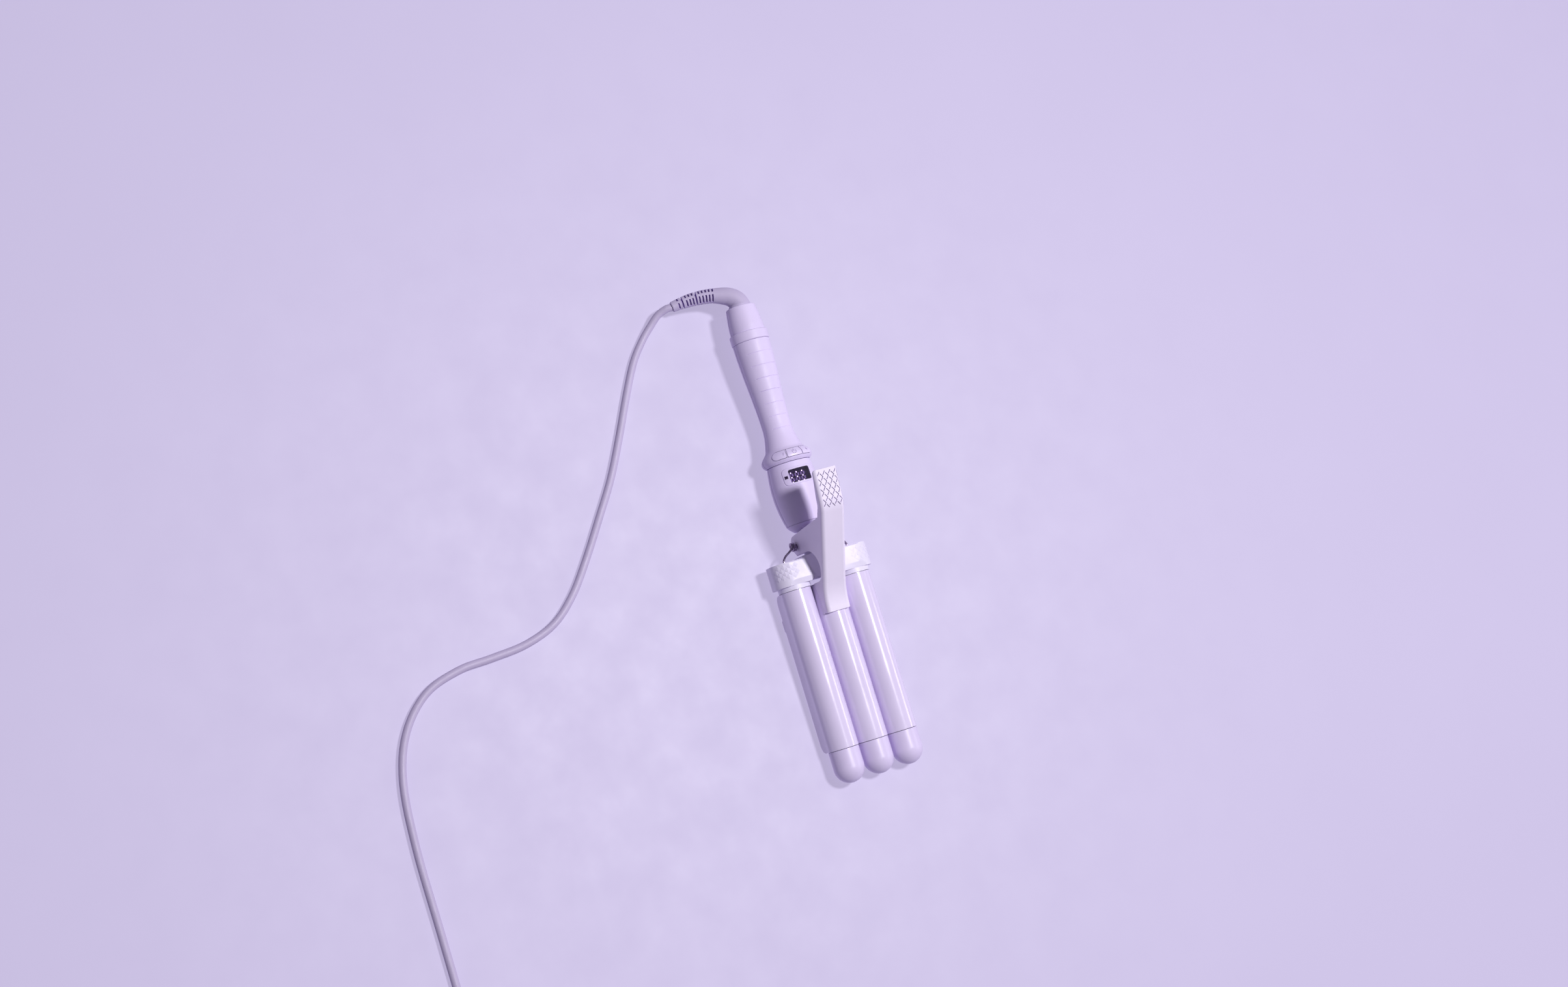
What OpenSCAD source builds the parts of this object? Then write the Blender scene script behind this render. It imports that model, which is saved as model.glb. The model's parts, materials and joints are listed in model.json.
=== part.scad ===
// Three-barrel hair waver, lying on its back as it rests on a table.
// Stations along the waver run from 0 at the top of the handle to the barrel tips.

/* [Handle] */
// Length of the tapered cap above the band
cap_length = 21.5; // [18:0.5:26]
// Radius of the handle where the cord elbow leaves it
cap_top_r = 11.6; // [11:0.1:13]
// Radius of the cap where it meets the band
cap_base_r = 13.9; // [13.4:0.1:15]
// Width of the band round the handle
band_width = 8; // [5:0.5:11]
// Radius of the band
band_r = 15.3; // [15:0.1:17]
// Length of the grip from the band to the crease under the buttons
grip_length = 87.5; // [80:0.5:110]
// Radius of the grip at the band
grip_top_r = 14.8; // [13.5:0.1:15]
// Radius of the grip at the waist
waist_r = 11.6; // [10.5:0.1:13]
// Distance from the waist to the crease under the buttons
flare_length = 16; // [12:0.5:24]
// Radius of the grip at the crease
crease_r = 14.6; // [13.5:0.1:16]
// Wall of the moulded housings
wall = 2.2; // [1.6:0.1:2.6]
// Grooves across the front of the grip
groove_count = 7; // [3:1:8]
// Distance from one groove to the next
groove_pitch = 10.3; // [8:0.1:11]
// Distance from the band to the first groove
groove_offset = 10.5; // [6:0.5:14]

/* [Button ring and head] */
// Length of the raised ring that carries the buttons
bead_length = 12.8; // [11:0.1:18]
// Distance from the crease to the crest of the ring
bead_rise = 8.5; // [7:0.1:10]
// Radius of the ring at its crest
bead_r = 20.3; // [19.5:0.1:23]
// Radius of the ring where the head joins
bead_end_r = 17.9; // [17.5:0.1:19]
// Length of the head behind the nose ring
head_length = 47.6; // [44:0.1:60]
// Radius of the head where it joins the button ring
head_start_r = 17.3; // [16.6:0.1:18]
// Largest radius of the head
head_r = 19.3; // [18.6:0.1:20]
// Radius of the head at the nose ring
nose_r = 15.8; // [15.2:0.1:17]
// Length of the nose ring
nose_length = 5.5; // [4:0.1:6.5]
// Radius at the front of the nose ring
nose_end_r = 10.8; // [10:0.1:12]
// Radius of the neck
neck_r = 8.6; // [7.5:0.1:8.8]

/* [Display and buttons] */
// Length of the display frame along the head
bezel_length = 13.4; // [12:0.1:16]
// Width of the display frame across the head
bezel_width = 26; // [24:0.5:28]
// Distance from the head's edge to the display frame
bezel_offset = 4.9; // [3.5:0.1:8]
// Length of the display window along the head
window_length = 10.6; // [8.5:0.1:11]
// Width of the display window across the head
window_width = 17.4; // [14:0.1:18]
// Height of a digit
digit_height = 7; // [5:0.1:7.6]
// Length of a button along the ring's slope
button_length = 6.6; // [5.5:0.1:7]
// Angle from the middle button to each outer one
button_spread = 37; // [35:0.5:40]
// Angle that a button covers round the ring
button_sweep = 34; // [28:0.5:34]
// Travel of a button
button_travel = 0.6; // [0.4:0.1:0.7]
// Space between a button and its opening
button_gap = 0.3; // [0.2:0.05:0.4]

/* [Lever] */
// Distance from the nose ring to the hinge
hinge_offset = 10.5; // [10:0.1:13]
// Radius of the hinge pin
pin_r = 1.6; // [1.4:0.1:2]
// Length of the hinge pin
pin_length = 35.6; // [35:0.2:40]
// Half the width of the lever
lever_half = 10; // [9.5:0.1:10.5]
// Distance of the thumb pad's end behind the hinge
pad_back = 46; // [42:0.5:50]
// Height of the thumb pad above the barrels' axis
pad_rise = 67.5; // [64:0.5:70]
// Length of the thumb pad
pad_length = 22; // [20:0.5:26]
// Slope of the thumb pad
pad_slope = 9; // [5:0.5:14]
// Slope of the lever's arm
arm_slope = 37; // [35:0.5:38]
// Length of the lever's straight arm
arm_length = 62.6; // [60:0.2:64]
// Thickness of the lever's front wall
lever_wall = 2.6; // [2:0.1:3]
// Radius of the lever's ears
ear_r = 8.5; // [7:0.1:9]
// Distance of an ear's outer face from the middle
ear_reach = 13.6; // [13:0.1:14]

/* [Barrels] */
// Distance from one barrel's axis to the next
barrel_pitch = 25.4; // [25:0.1:27]
// Radius of a barrel's coated sleeve
sleeve_r = 12.5; // [11:0.1:12.6]
// Wall of the coated sleeve
sleeve_wall = 1.2; // [0.8:0.1:1.6]
// Length of the sleeves
sleeve_length = 126.6; // [110:0.2:150]
// Distance from the nose ring to the collars
collar_offset = 21.3; // [21:0.1:25]
// Length of a collar
collar_length = 18.5; // [16:0.5:22]
// Distance of a collar's outer face from the middle
collar_reach = 41; // [40:0.1:43]
// Height of a collar's front face above the barrels' axis
collar_front = 14.5; // [13.8:0.1:15.5]
// Length of the ring between a collar and its sleeve
ring_length = 3.5; // [2.5:0.1:5]
// Length of a barrel's round tip
tip_length = 26.6; // [20:0.2:32]
// Radius of a barrel's round tip
tip_r = 12.1; // [10.8:0.1:12.2]
// Depth of the outer barrels' backs behind their axes
back_depth = 13; // [12.7:0.1:14]
// Depth of the feet's middle behind the barrels' axes
foot_depth = 16.4; // [16.2:0.1:17.5]
// Distance of the feet from the sleeves' ends
foot_offset = 24; // [20:0.5:40]

/* [Cord] */
// Radius of the cord
cord_r = 3; // [2.5:0.1:3.2]
// Reach of the elbow and its strain relief from the handle's axis
elbow_reach = 52; // [44:0.5:60]
// Radius of the elbow
elbow_r = 8.8; // [7.5:0.1:9]
// Radius of the strain relief at the cord
relief_r = 6.4; // [5:0.1:7]
// Droop of the elbow below the horizontal
elbow_droop = 12.5; // [8:0.5:18]

/* [Hidden] */
$fn = 64;

// Fits and small clearances
fit = 0.05;
seam = 0.3;
tiny = 0.01;

// Stations along the waver
band_start = cap_length;
band_end = band_start + band_width;
crease = band_end + grip_length;
waist = crease - flare_length;
bead_end = crease + bead_length;
head_start = bead_end + seam;
head_end = head_start + head_length;
head_middle = head_start + head_length * 0.45;
nose_end = head_end + nose_length;
hinge = nose_end + hinge_offset;
collar_start = nose_end + collar_offset;
collar_end = collar_start + collar_length;
ring_end = collar_end + ring_length;
sleeve_start = ring_end + seam;
sleeve_end = sleeve_start + sleeve_length;
tip_end = sleeve_end + seam + tip_length;

// The waver rests on the ring's crest and its two feet
bead_crest = crease + bead_rise;
foot_station = sleeve_start + foot_offset;
rest_tilt = asin((bead_r - foot_depth) / (foot_station - bead_crest));
axis_height = bead_crest * sin(rest_tilt) + bead_r * cos(rest_tilt);
far_x = (tip_end - tip_r) * cos(rest_tilt) + tip_r;
near_x = -cap_top_r * sin(rest_tilt);
middle_x = (far_x + near_x) / 2;

// Colours
shell_colour = [0.80, 0.75, 0.90];
rear_colour = [0.74, 0.69, 0.85];
lever_colour = [0.84, 0.79, 0.93];
sleeve_colour = [0.88, 0.84, 0.96];
collar_colour = [0.86, 0.82, 0.94];
metal_colour = [0.42, 0.38, 0.47];
dark_colour = [0.16, 0.11, 0.22];

// Puts a piece that is drawn along the waver's own axis into its resting place
module rest() {
    translate([-middle_x, 0, axis_height]) rotate([0, rest_tilt, 0]) children();
}

// Turns an outline of [radius, station] points about the waver's axis, by angles from the front
module turned(outline, from = -180, sweep = 360) {
    rotate([0, 90, 0]) rotate([0, 0, 180 + from]) rotate_extrude(angle = sweep) polygon(outline);
}

// A cylinder along the waver between two stations
module along(r, from, to) {
    translate([from, 0, 0]) rotate([0, 90, 0]) cylinder(h = to - from, r = r);
}

// A cylinder across the waver
module across(r, width) {
    rotate([90, 0, 0]) cylinder(h = width, r = r, center = true);
}

// A side view, drawn in [station, height], given a width across the waver
module side_slab(width) {
    rotate([90, 0, 0]) translate([0, 0, -width / 2]) linear_extrude(width) children();
}

// A cross-section, drawn in [across, height], carried from one station to another
module cross_slab(from, to) {
    translate([from, 0, 0]) rotate([90, 0, 90]) linear_extrude(to - from) children();
}

// A rectangle with a radius at every corner
module round_rect(length, width, r) {
    union() {
        square([length, width - 2 * r], center = true);
        square([length - 2 * r, width], center = true);
        for (i = [-1, 1], j = [-1, 1]) translate([i * (length / 2 - r), j * (width / 2 - r)]) circle(r);
    }
}

// Radius of the housing at a station
function cap_radius(x) = cap_top_r + (cap_base_r - cap_top_r) * sin(90 * x / cap_length);
function grip_radius(x) = x < waist
    ? grip_top_r - (grip_top_r - waist_r) * (1 - cos(180 * (x - band_end) / (waist - band_end))) / 2
    : waist_r + (crease_r - waist_r) * pow((x - waist) / flare_length, 1.6);
function bead_radius(x) = x < bead_crest
    ? crease_r + (bead_r - crease_r) * pow(sin(90 * (x - crease) / bead_rise), 1.5)
    : bead_r - (bead_r - bead_end_r) * pow((x - bead_crest) / (bead_end - bead_crest), 2.4);
function head_radius(x) = x < head_middle
    ? head_r - (head_r - head_start_r) * pow((head_middle - x) / (head_middle - head_start), 2)
    : head_r - (head_r - nose_r) * pow((x - head_middle) / (head_end - head_middle), 2);
function nose_radius(x) = nose_r - (nose_r - nose_end_r) * pow((x - head_end) / nose_length, 1.3);

// Stations from one end to another in equal steps
function steps(from, to, count) = [for (i = [0 : count]) from + (to - from) * i / count];

cap_stations = steps(0.6, band_start, 4);
grip_stations = steps(band_end, crease, 16);
bead_stations = steps(crease, bead_end, 12);
head_stations = steps(head_start, head_end, 12);

function handle_outline(inset) = concat(
    [[cap_top_r - 0.7 - inset, 0]],
    [for (x = cap_stations) [cap_radius(x) - inset, x]],
    [[cap_base_r - inset, band_end]],
    [for (x = grip_stations) [grip_radius(x) - inset, x]],
    [for (x = bead_stations) [bead_radius(x) - inset, x]]
);
function head_outline(inset) = [for (x = head_stations) [head_radius(x) - inset, x]];

// Walls of the handle and the head, as closed outlines for turning
end_wall = 3;
swivel_r = 6.5;
spigot_bore = swivel_r + fit;
function inner_points(outline) = [for (i = [len(outline) - 1 : -1 : 0]) if (outline[i][1] > end_wall) outline[i]];
handle_walls = concat(
    handle_outline(0),
    inner_points(handle_outline(wall)),
    [[cap_radius(end_wall) - wall, end_wall], [spigot_bore, end_wall], [spigot_bore, 0]]
);
head_walls = concat(head_outline(0), inner_points(head_outline(wall)));

// Half of a turned wall, with the parting line's gap at both sides
half_sweep = 180 - 1.2;

// Screws that hold the two handle shells together
screw_stations = [for (i = [0 : 2]) band_end + 12 + i * (waist - band_end - 16) / 2];
boss_r = 3.4;
screw_r = 1.3;

module front_boss(x) {
    intersection() {
        translate([x, 0, seam / 2]) cylinder(h = band_r, r = boss_r);
        turned(concat([[0, band_end]], [for (p = grip_stations) [grip_radius(p) - wall / 2, p]], [[0, crease]]));
    }
}

module rear_boss(x) {
    rotate([180, 0, 0]) front_boss(x);
}

// The front shell has the grip's grooves and the openings for the buttons
module handle_front_shell() {
    color(shell_colour) rest() difference() {
        union() {
            turned(handle_walls, -half_sweep / 2, half_sweep);
            for (x = screw_stations) front_boss(x);
        }
        for (x = screw_stations) translate([x, 0, 0]) cylinder(h = 6, r = screw_r);
        for (i = [0 : groove_count - 1]) groove(i);
        for (a = [-1, 0, 1]) button_opening(a);
    }
}

groove_width = 0.6;
groove_depth = 0.4;
module groove(i) {
    x = band_end + groove_offset + i * groove_pitch;
    half = 46 - i;
    r = grip_radius(x);
    turned([[r - groove_depth, x], [r + 1, x - groove_width], [r + 1, x + groove_width]], -half, 2 * half);
}

module handle_rear_shell() {
    color(rear_colour) rest() difference() {
        union() {
            turned(handle_walls, 180 - half_sweep / 2, half_sweep);
            for (x = screw_stations) rear_boss(x);
        }
        for (x = screw_stations) screw_hole(x);
    }
}

screw_head_r = 2.6;
screw_head_depth = 5;
screw_length = 9;
module screw_hole(x) {
    translate([x, 0, -band_r]) cylinder(h = band_r, r = screw_r + fit);
    translate([x, 0, -band_r]) cylinder(h = band_r - screw_head_depth, r = screw_head_r + fit);
}

// The screws' heads sit at the bottom of the rear shell's recesses
module shell_screws() {
    color(metal_colour) rest() for (x = screw_stations) translate([x, 0, -screw_head_depth]) {
        cylinder(h = screw_length, r = screw_r - fit);
        translate([0, 0, -2]) difference() {
            cylinder(h = 2, r = screw_head_r - fit);
            translate([0, 0, -tiny]) cylinder(h = 1, r = 1.1, $fn = 6);
        }
    }
}

module handle_band() {
    edge = 0.5;
    inner = cap_base_r + fit;
    from = band_start + seam / 2;
    to = band_end - seam / 2;
    color(shell_colour) rest() turned([
        [inner, from], [band_r - edge, from], [band_r, from + edge],
        [band_r, to - edge], [band_r - edge, to], [inner, to]
    ]);
}

// Head covers
neck_start = head_end - 8;
board_top = 0;
board_thick = 1.6;
post_stations = [head_start + 10, head_start + 34];
module head_front_cover() {
    color(shell_colour) rest() difference() {
        turned(head_walls, -half_sweep / 2, half_sweep);
        bezel_block(fit);
        indicator_block(fit);
    }
}

module head_rear_cover() {
    color(rear_colour) rest() union() {
        turned(head_walls, 180 - half_sweep / 2, half_sweep);
        for (x = post_stations, side = [-1, 1]) board_post(x, side);
    }
}

post_r = 2.2;
post_spread = 8;
module board_post(x, side) {
    intersection() {
        translate([x, side * post_spread, -head_r]) cylinder(h = head_r + board_top - board_thick, r = post_r);
        turned(concat([[0, head_start]], head_outline(wall / 2), [[0, head_end]]));
    }
}

// The display frame lies in the head's surface and stands a little proud of it
bezel_start = head_start + bezel_offset;
bezel_middle = bezel_start + bezel_length / 2;
bezel_proud = 0.3;
bezel_sunk = 1.2;
bezel_corner = 3;
window_corner = 1.4;
module head_layer(outer, inner) {
    turned(concat(head_outline(-outer), [for (i = [len(head_stations) - 1 : -1 : 0])
        [head_radius(head_stations[i]) - inner, head_stations[i]]]), -80, 160);
}

module front_prism(length, width, corner) {
    translate([bezel_middle, 0, neck_r]) linear_extrude(head_r) round_rect(length, width, corner);
}

module bezel_block(gap) {
    intersection() {
        head_layer(bezel_proud + gap, bezel_sunk + gap);
        front_prism(bezel_length + 2 * gap, bezel_width + 2 * gap, bezel_corner);
    }
    front_prism(window_length, window_width, window_corner);
}

module display_bezel() {
    color(shell_colour) rest() difference() {
        intersection() {
            head_layer(bezel_proud, bezel_sunk);
            front_prism(bezel_length, bezel_width, bezel_corner);
        }
        front_prism(window_length, window_width, window_corner);
        indicator_block(fit);
    }
}

// The window fills the frame's opening, a little below the frame's face
window_sunk = 0.1;
module display_window() {
    color(dark_colour, 0.5) rest() intersection() {
        head_layer(-window_sunk, bezel_sunk + 0.2);
        front_prism(window_length - 2 * fit, window_width - 2 * fit, window_corner - fit);
    }
}

// A small lens beside the window
indicator_size = 2.2;
indicator_across = -(window_width / 2 + 2.4);
module indicator_block(gap) {
    size = indicator_size + 2 * gap;
    translate([bezel_middle, indicator_across, neck_r]) linear_extrude(head_r) square(size, center = true);
}

module indicator_lens() {
    color(dark_colour) rest() intersection() {
        head_layer(bezel_proud + 0.05, wall - fit);
        indicator_block(0);
    }
}

// The display panel stands on a holder above the board
panel_thick = 1.6;
panel_corner_drop = sqrt(pow(head_start_r + 0.7 - bezel_sunk, 2) - pow(window_width / 2 + 1, 2));
panel_top = panel_corner_drop - 1.2;
panel_length = window_length + 2;
panel_width = window_width + 1.6;
module lcd_panel() {
    color(dark_colour) rest()
        translate([bezel_middle - panel_length / 2, -panel_width / 2, panel_top - panel_thick])
            cube([panel_length, panel_width, panel_thick]);
}

module display_holder() {
    rim = 1.4;
    length = panel_length - 0.4;
    width = panel_width - 0.4;
    color("white") rest() translate([bezel_middle, 0, board_top]) difference() {
        translate([-length / 2, -width / 2, 0]) cube([length, width, panel_top - panel_thick - board_top]);
        translate([rim - length / 2, rim - width / 2, -1])
            cube([length - 2 * rim, width - 2 * rim, head_r]);
    }
}

// Three seven-bar digits, read with the handle at the left
digit_pitch = digit_height * 0.56;
digit_bar = digit_height * 0.13;
digit_width = digit_height * 0.42;
digit_shift = -digit_height * 0.3;
module digit() {
    half = digit_height / 2 - digit_bar / 2;
    side = digit_width / 2 - digit_bar / 2;
    for (x = [-half, 0, half]) translate([x, 0]) square([digit_bar, digit_width - 2.4 * digit_bar], center = true);
    for (x = [-half / 2, half / 2], y = [-side, side])
        translate([x, y]) square([half - 1.2 * digit_bar, digit_bar], center = true);
}

module display_digits() {
    color("white") rest() translate([bezel_middle, digit_shift, panel_top]) linear_extrude(0.3)
        for (i = [-1 : 1]) translate([0, i * digit_pitch]) digit();
}

// The board lies in the parting plane, from under the buttons to the nose
board_start = crease + 2.4;
board_end = neck_start - 0.5;
board_width = 24.4;
board_nose_width = 18;
module control_board() {
    color([0.20, 0.42, 0.30]) rest() translate([0, 0, board_top - board_thick]) linear_extrude(board_thick)
        polygon([
            [board_start, -board_width / 2], [board_end - 8, -board_width / 2],
            [board_end, -board_nose_width / 2], [board_end, board_nose_width / 2],
            [board_end - 8, board_width / 2], [board_start, board_width / 2]
        ]);
}

// Buttons lie in the ring's slope. Each has a flange behind the wall and a stem over its switch.
button_start = bead_crest - 5.3;
button_middle = button_start + button_length / 2;
button_proud = 0.35;
button_thick = 1.3;
switch_gap = 0.2;
button_r = bead_radius(button_middle);
button_half = button_r * sin(button_sweep / 2);
stem_r = 1.6;
switch_r = crease_r - 2.2;
carrier_r = switch_r - 1.2;
carrier_wall = 1.4;

module bead_layer(outer, inner) {
    turned(concat([for (x = bead_stations) [bead_radius(x) - outer, x]],
        [for (i = [len(bead_stations) - 1 : -1 : 0]) [bead_radius(bead_stations[i]) - inner, bead_stations[i]]]),
        -80, 160);
}

// Outline of a button seen along its travel: outer ends are round, and sides that face a neighbour
// are cut by planes through the waver's axis
module button_outline(side, gap) {
    length = button_length + 2 * gap;
    half = button_half + gap;
    if (side == 0) square([length, 2.4 * half], center = true);
    else {
        translate([-length / 2, side > 0 ? -1.2 * half : -half + length / 2])
            square([length, 2.2 * half - length / 2]);
        translate([0, side * (half - length / 2)]) circle(length / 2);
    }
}

module button_prism(side, gap) {
    half = button_sweep / 2 + asin(gap / button_r);
    intersection() {
        translate([button_middle, 0, carrier_r]) linear_extrude(bead_r) button_outline(side, gap);
        turned([[0, crease - 2], [2 * bead_r, crease - 2], [2 * bead_r, bead_end + 2], [0, bead_end + 2]],
            -half, 2 * half);
    }
}

// Turns a button's frame round the waver's axis to its place
module button_frame(side) {
    rotate([-side * button_spread, 0, 0]) children();
}

module button_opening(side) {
    button_frame(side) button_prism(side, button_gap);
}

module button(side) {
    color(shell_colour) rest() button_frame(side) union() {
        intersection() {
            bead_layer(-button_proud, button_thick);
            button_prism(side, 0);
        }
        translate([button_middle, 0, switch_r + button_travel + switch_gap])
            cylinder(h = button_r - switch_r - button_travel - switch_gap - button_thick / 2, r = stem_r);
    }
}

module button_minus() {
    button(-1);
}

module button_power() {
    button(0);
}

module button_plus() {
    button(1);
}

// A curved strip on the board carries one switch under each button
module switch_carrier() {
    half = button_length / 2;
    color("white") rest() union() {
        turned([
            [carrier_r - carrier_wall, button_middle - half], [carrier_r, button_middle - half],
            [carrier_r, button_middle + half], [carrier_r - carrier_wall, button_middle + half]
        ], -90, 180);
        for (side = [-1 : 1]) button_frame(side) translate([button_middle, 0, carrier_r - 0.5])
            cylinder(h = switch_r - carrier_r + 0.5, r = 2);
    }
}

// Nose ring, neck and yoke
nose_spigot_r = nose_r - wall - fit;
module nose_ring() {
    color(shell_colour) rest() turned(concat(
        [[neck_r + fit, head_end - 3], [nose_spigot_r, head_end - 3], [nose_spigot_r, head_end + seam / 2]],
        [for (x = steps(head_end + seam / 2, nose_end, 6)) [nose_radius(x), x]],
        [[neck_r + fit, nose_end]]
    ));
}

hub_r = 6.3;
hub_half = 10.4;
neck_bore = 5;
neck_end = collar_start + 0.4;
vent_r = 0.8;
module neck() {
    color(collar_colour) rest() difference() {
        union() {
            along(neck_r, neck_start, neck_end);
            translate([hinge, 0, 0]) across(hub_r, 2 * hub_half);
        }
        along(neck_bore, neck_start - 1, hinge - hub_r);
        translate([hinge, 0, 0]) across(pin_r + tiny, 2 * hub_half + 2);
        for (x = [nose_end + 1.8, nose_end + 3.6], a = [-45 : 30 : 45]) rotate([a, 0, 0])
            translate([x, 0, 0]) cylinder(h = neck_r + 1, r = vent_r, $fn = 16);
    }
}

// The yoke bridges the two collars and takes the neck in a socket
yoke_start = hinge + ear_r + 0.5;
yoke_end = collar_end - 1;
yoke_half_height = 9.8;
inner_top = 15.4;
inner_bottom = 10.8;
tongue_reach = 21;
tongue_start = collar_start + 2.2;
tongue_end = tongue_start + 6;
tongue_half_height = 6;
module yoke() {
    gap = seam / 2;
    color(collar_colour) rest() difference() {
        union() {
            translate([0, 0, -yoke_half_height]) linear_extrude(2 * yoke_half_height) intersection() {
                translate([yoke_start, -inner_top]) square([yoke_end - yoke_start, 2 * inner_top]);
                polygon([
                    [yoke_start - 1, inner_top - gap], [collar_start, inner_top - gap],
                    [collar_end - 4.5, inner_bottom - gap], [yoke_end + 1, inner_bottom - gap],
                    [yoke_end + 1, gap - inner_bottom], [collar_end - 4.5, gap - inner_bottom],
                    [collar_start, gap - inner_top], [yoke_start - 1, gap - inner_top]
                ]);
            }
            translate([tongue_start, -tongue_reach, -tongue_half_height])
                cube([tongue_end - tongue_start, 2 * tongue_reach, 2 * tongue_half_height]);
        }
        along(neck_r + tiny, yoke_start - 1, neck_end + tiny);
    }
}

module hinge_pin() {
    color(metal_colour) rest() translate([hinge, 0, 0]) across(pin_r, pin_length);
}

// Sweeps a round wire along a list of points
function unit(v) = v / norm(v);
function heading(path, i) = unit(path[min(i + 1, len(path) - 1)] - path[max(i - 1, 0)]);
function carried(side, direction) = unit(side - (side * direction) * direction);
function sides_along(path, i, side) = i >= len(path) ? []
    : let (now = carried(side, heading(path, i))) concat([now], sides_along(path, i + 1, now));
function first_side(direction) = carried(abs(direction[2]) < 0.9 ? [0, 0, 1] : [0, 1, 0], direction);

module swept(path, r, facets) {
    sides = sides_along(path, 0, first_side(heading(path, 0)));
    rings = [for (i = [0 : len(path) - 1]) let (d = heading(path, i), u = sides[i], v = cross(d, u))
        for (k = [0 : facets - 1]) path[i] + r * (cos(360 * k / facets) * u + sin(360 * k / facets) * v)];
    last = (len(path) - 1) * facets;
    skin = [for (i = [0 : len(path) - 2], k = [0 : facets - 1]) let (n = (k + 1) % facets, a = i * facets)
        [a + k, a + facets + k, a + facets + n, a + n]];
    ends = [[for (k = [0 : facets - 1]) k], [for (k = [facets - 1 : -1 : 0]) last + k]];
    polyhedron(rings, concat(skin, ends));
}

// A torsion spring on the pin's end: coils beside the ear, then a leg out and down into the collar
wire_r = 0.85;
coil_r = pin_r + wire_r + 0.4;
coil_end_angle = 630;
coil_start = ear_reach + wire_r + 0.75;
coil_pitch = 2 * wire_r + 0.1;
coil_end = coil_start + coil_pitch * coil_end_angle / 360;
leg_reach = 27.4;
leg_run = collar_start - hinge;
leg_hole_depth = 3;
spring_path = concat(
    [[coil_r, coil_start, 1.2]],
    [for (a = [0 : 18 : coil_end_angle])
        [coil_r * cos(a), coil_start + coil_pitch * a / 360, -coil_r * sin(a)]],
    curve([
        [1.2, coil_end + 0.8, coil_r], [3, (2 * coil_end + leg_reach) / 3, coil_r - 0.6],
        [5.6, (coil_end + 2 * leg_reach) / 3 + 0.8, 1], [leg_run - 2.4, leg_reach - 0.2, 0.1],
        [leg_run - 0.6, leg_reach, 0]
    ], 3),
    [[leg_run + leg_hole_depth - 0.3, leg_reach, 0]]
);

module spring() {
    color(metal_colour) rest() translate([hinge, 0, 0]) swept(spring_path, wire_r, 8);
}

module spring_left() {
    color(metal_colour) mirror([0, 1, 0]) spring();
}

module spring_right() {
    spring();
}

// Collars: a rounded block with a slanted inner side and a bevel above the sleeve's ring
collar_back = 10;
collar_round = 14;
collar_back_round = 4;
bevel = 4;
bore_start = tongue_end + 0.6;
core_r = sleeve_r - sleeve_wall - fit;
ring_r = sleeve_r + 0.5;
quilt_root = 0.5;
quilt_step = 0.06;
quilt_height = 0.34;

module collar_section() {
    width = collar_reach - inner_bottom + 2;
    difference() {
        union() {
            translate([inner_bottom - 2, -collar_back])
                square([width - collar_round, collar_back + collar_front]);
            translate([inner_bottom - 2, collar_back_round - collar_back])
                square([width, collar_back + collar_front - collar_round - collar_back_round]);
            translate([inner_bottom - 2, -collar_back])
                square([width - collar_back_round, collar_back_round * 2]);
            translate([collar_reach - collar_round, collar_front - collar_round]) circle(collar_round);
            translate([collar_reach - collar_back_round, collar_back_round - collar_back])
                circle(collar_back_round);
        }
    }
}

module collar_block() {
    intersection() {
        cross_slab(collar_start, collar_end) collar_section();
        translate([0, 0, -2 * collar_back]) linear_extrude(4 * collar_front) polygon([
            [collar_start, inner_top], [collar_end - bevel, inner_bottom],
            [collar_end, inner_bottom + bevel - 0.6], [collar_end, collar_reach + 1],
            [collar_start, collar_reach + 1]
        ]);
        side_slab(3 * collar_reach) polygon([
            [collar_start, -collar_back], [collar_start, collar_front - 1],
            [collar_start + 1, collar_front], [collar_end - bevel, collar_front],
            [collar_end, collar_front - 1.4], [collar_end, -collar_back]
        ]);
    }
}

// Diamonds in relief, in staggered rows round the collar's outer front corner
quilt_rows = 4;
quilt_columns = 8;
quilt_row_pitch = 2.6;
quilt_column_pitch = 2.4;
quilt_space = 0.2;
quilt_start = collar_start + 0.8;
quilt_edge = -4.8;
module on_corner(arc) {
    centre = [0, collar_reach - collar_round, collar_front - collar_round];
    turn = arc / collar_round * 180 / PI;
    if (arc < 0) translate(centre + [0, arc, collar_round]) children();
    else translate(centre) rotate([-turn, 0, 0]) translate([0, 0, collar_round]) children();
}

module diamond() {
    scale([quilt_row_pitch - quilt_space, quilt_column_pitch - quilt_space, 1]) union() {
        translate([0, 0, -quilt_root]) cylinder(h = quilt_root + quilt_step, r = 1, $fn = 4);
        translate([0, 0, quilt_step]) cylinder(h = quilt_height, r1 = 1, r2 = 0, $fn = 4);
    }
}

module quilt() {
    for (row = [1 : quilt_rows], column = [1 : quilt_columns]) if ((row + column) % 2 == 0)
        on_corner(quilt_edge + column * quilt_column_pitch)
            translate([quilt_start + row * quilt_row_pitch, 0, 0]) diamond();
}

module collar() {
    difference() {
        union() {
            collar_block();
            quilt();
            translate([0, barrel_pitch, 0]) along(ring_r, collar_end - 2, ring_end);
        }
        translate([0, barrel_pitch, 0]) along(core_r + fit, bore_start, ring_end + 1);
        translate([tongue_start - fit, 0, -tongue_half_height - fit])
            cube([tongue_end - tongue_start + 2 * fit, tongue_reach + fit, 2 * (tongue_half_height + fit)]);
        translate([0, leg_reach, 0]) along(wire_r + fit, collar_start - 1, collar_start + leg_hole_depth);
    }
}

module collar_left() {
    color(collar_colour) rest() mirror([0, 1, 0]) collar();
}

module collar_right() {
    color(collar_colour) rest() collar();
}

// Outer sleeves are round at the front and have straight sides to the back
back_round = 7;
module sleeve_section(r, floor) {
    circle(r);
    translate([-r, -floor]) square([2 * r, floor]);
}

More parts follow.
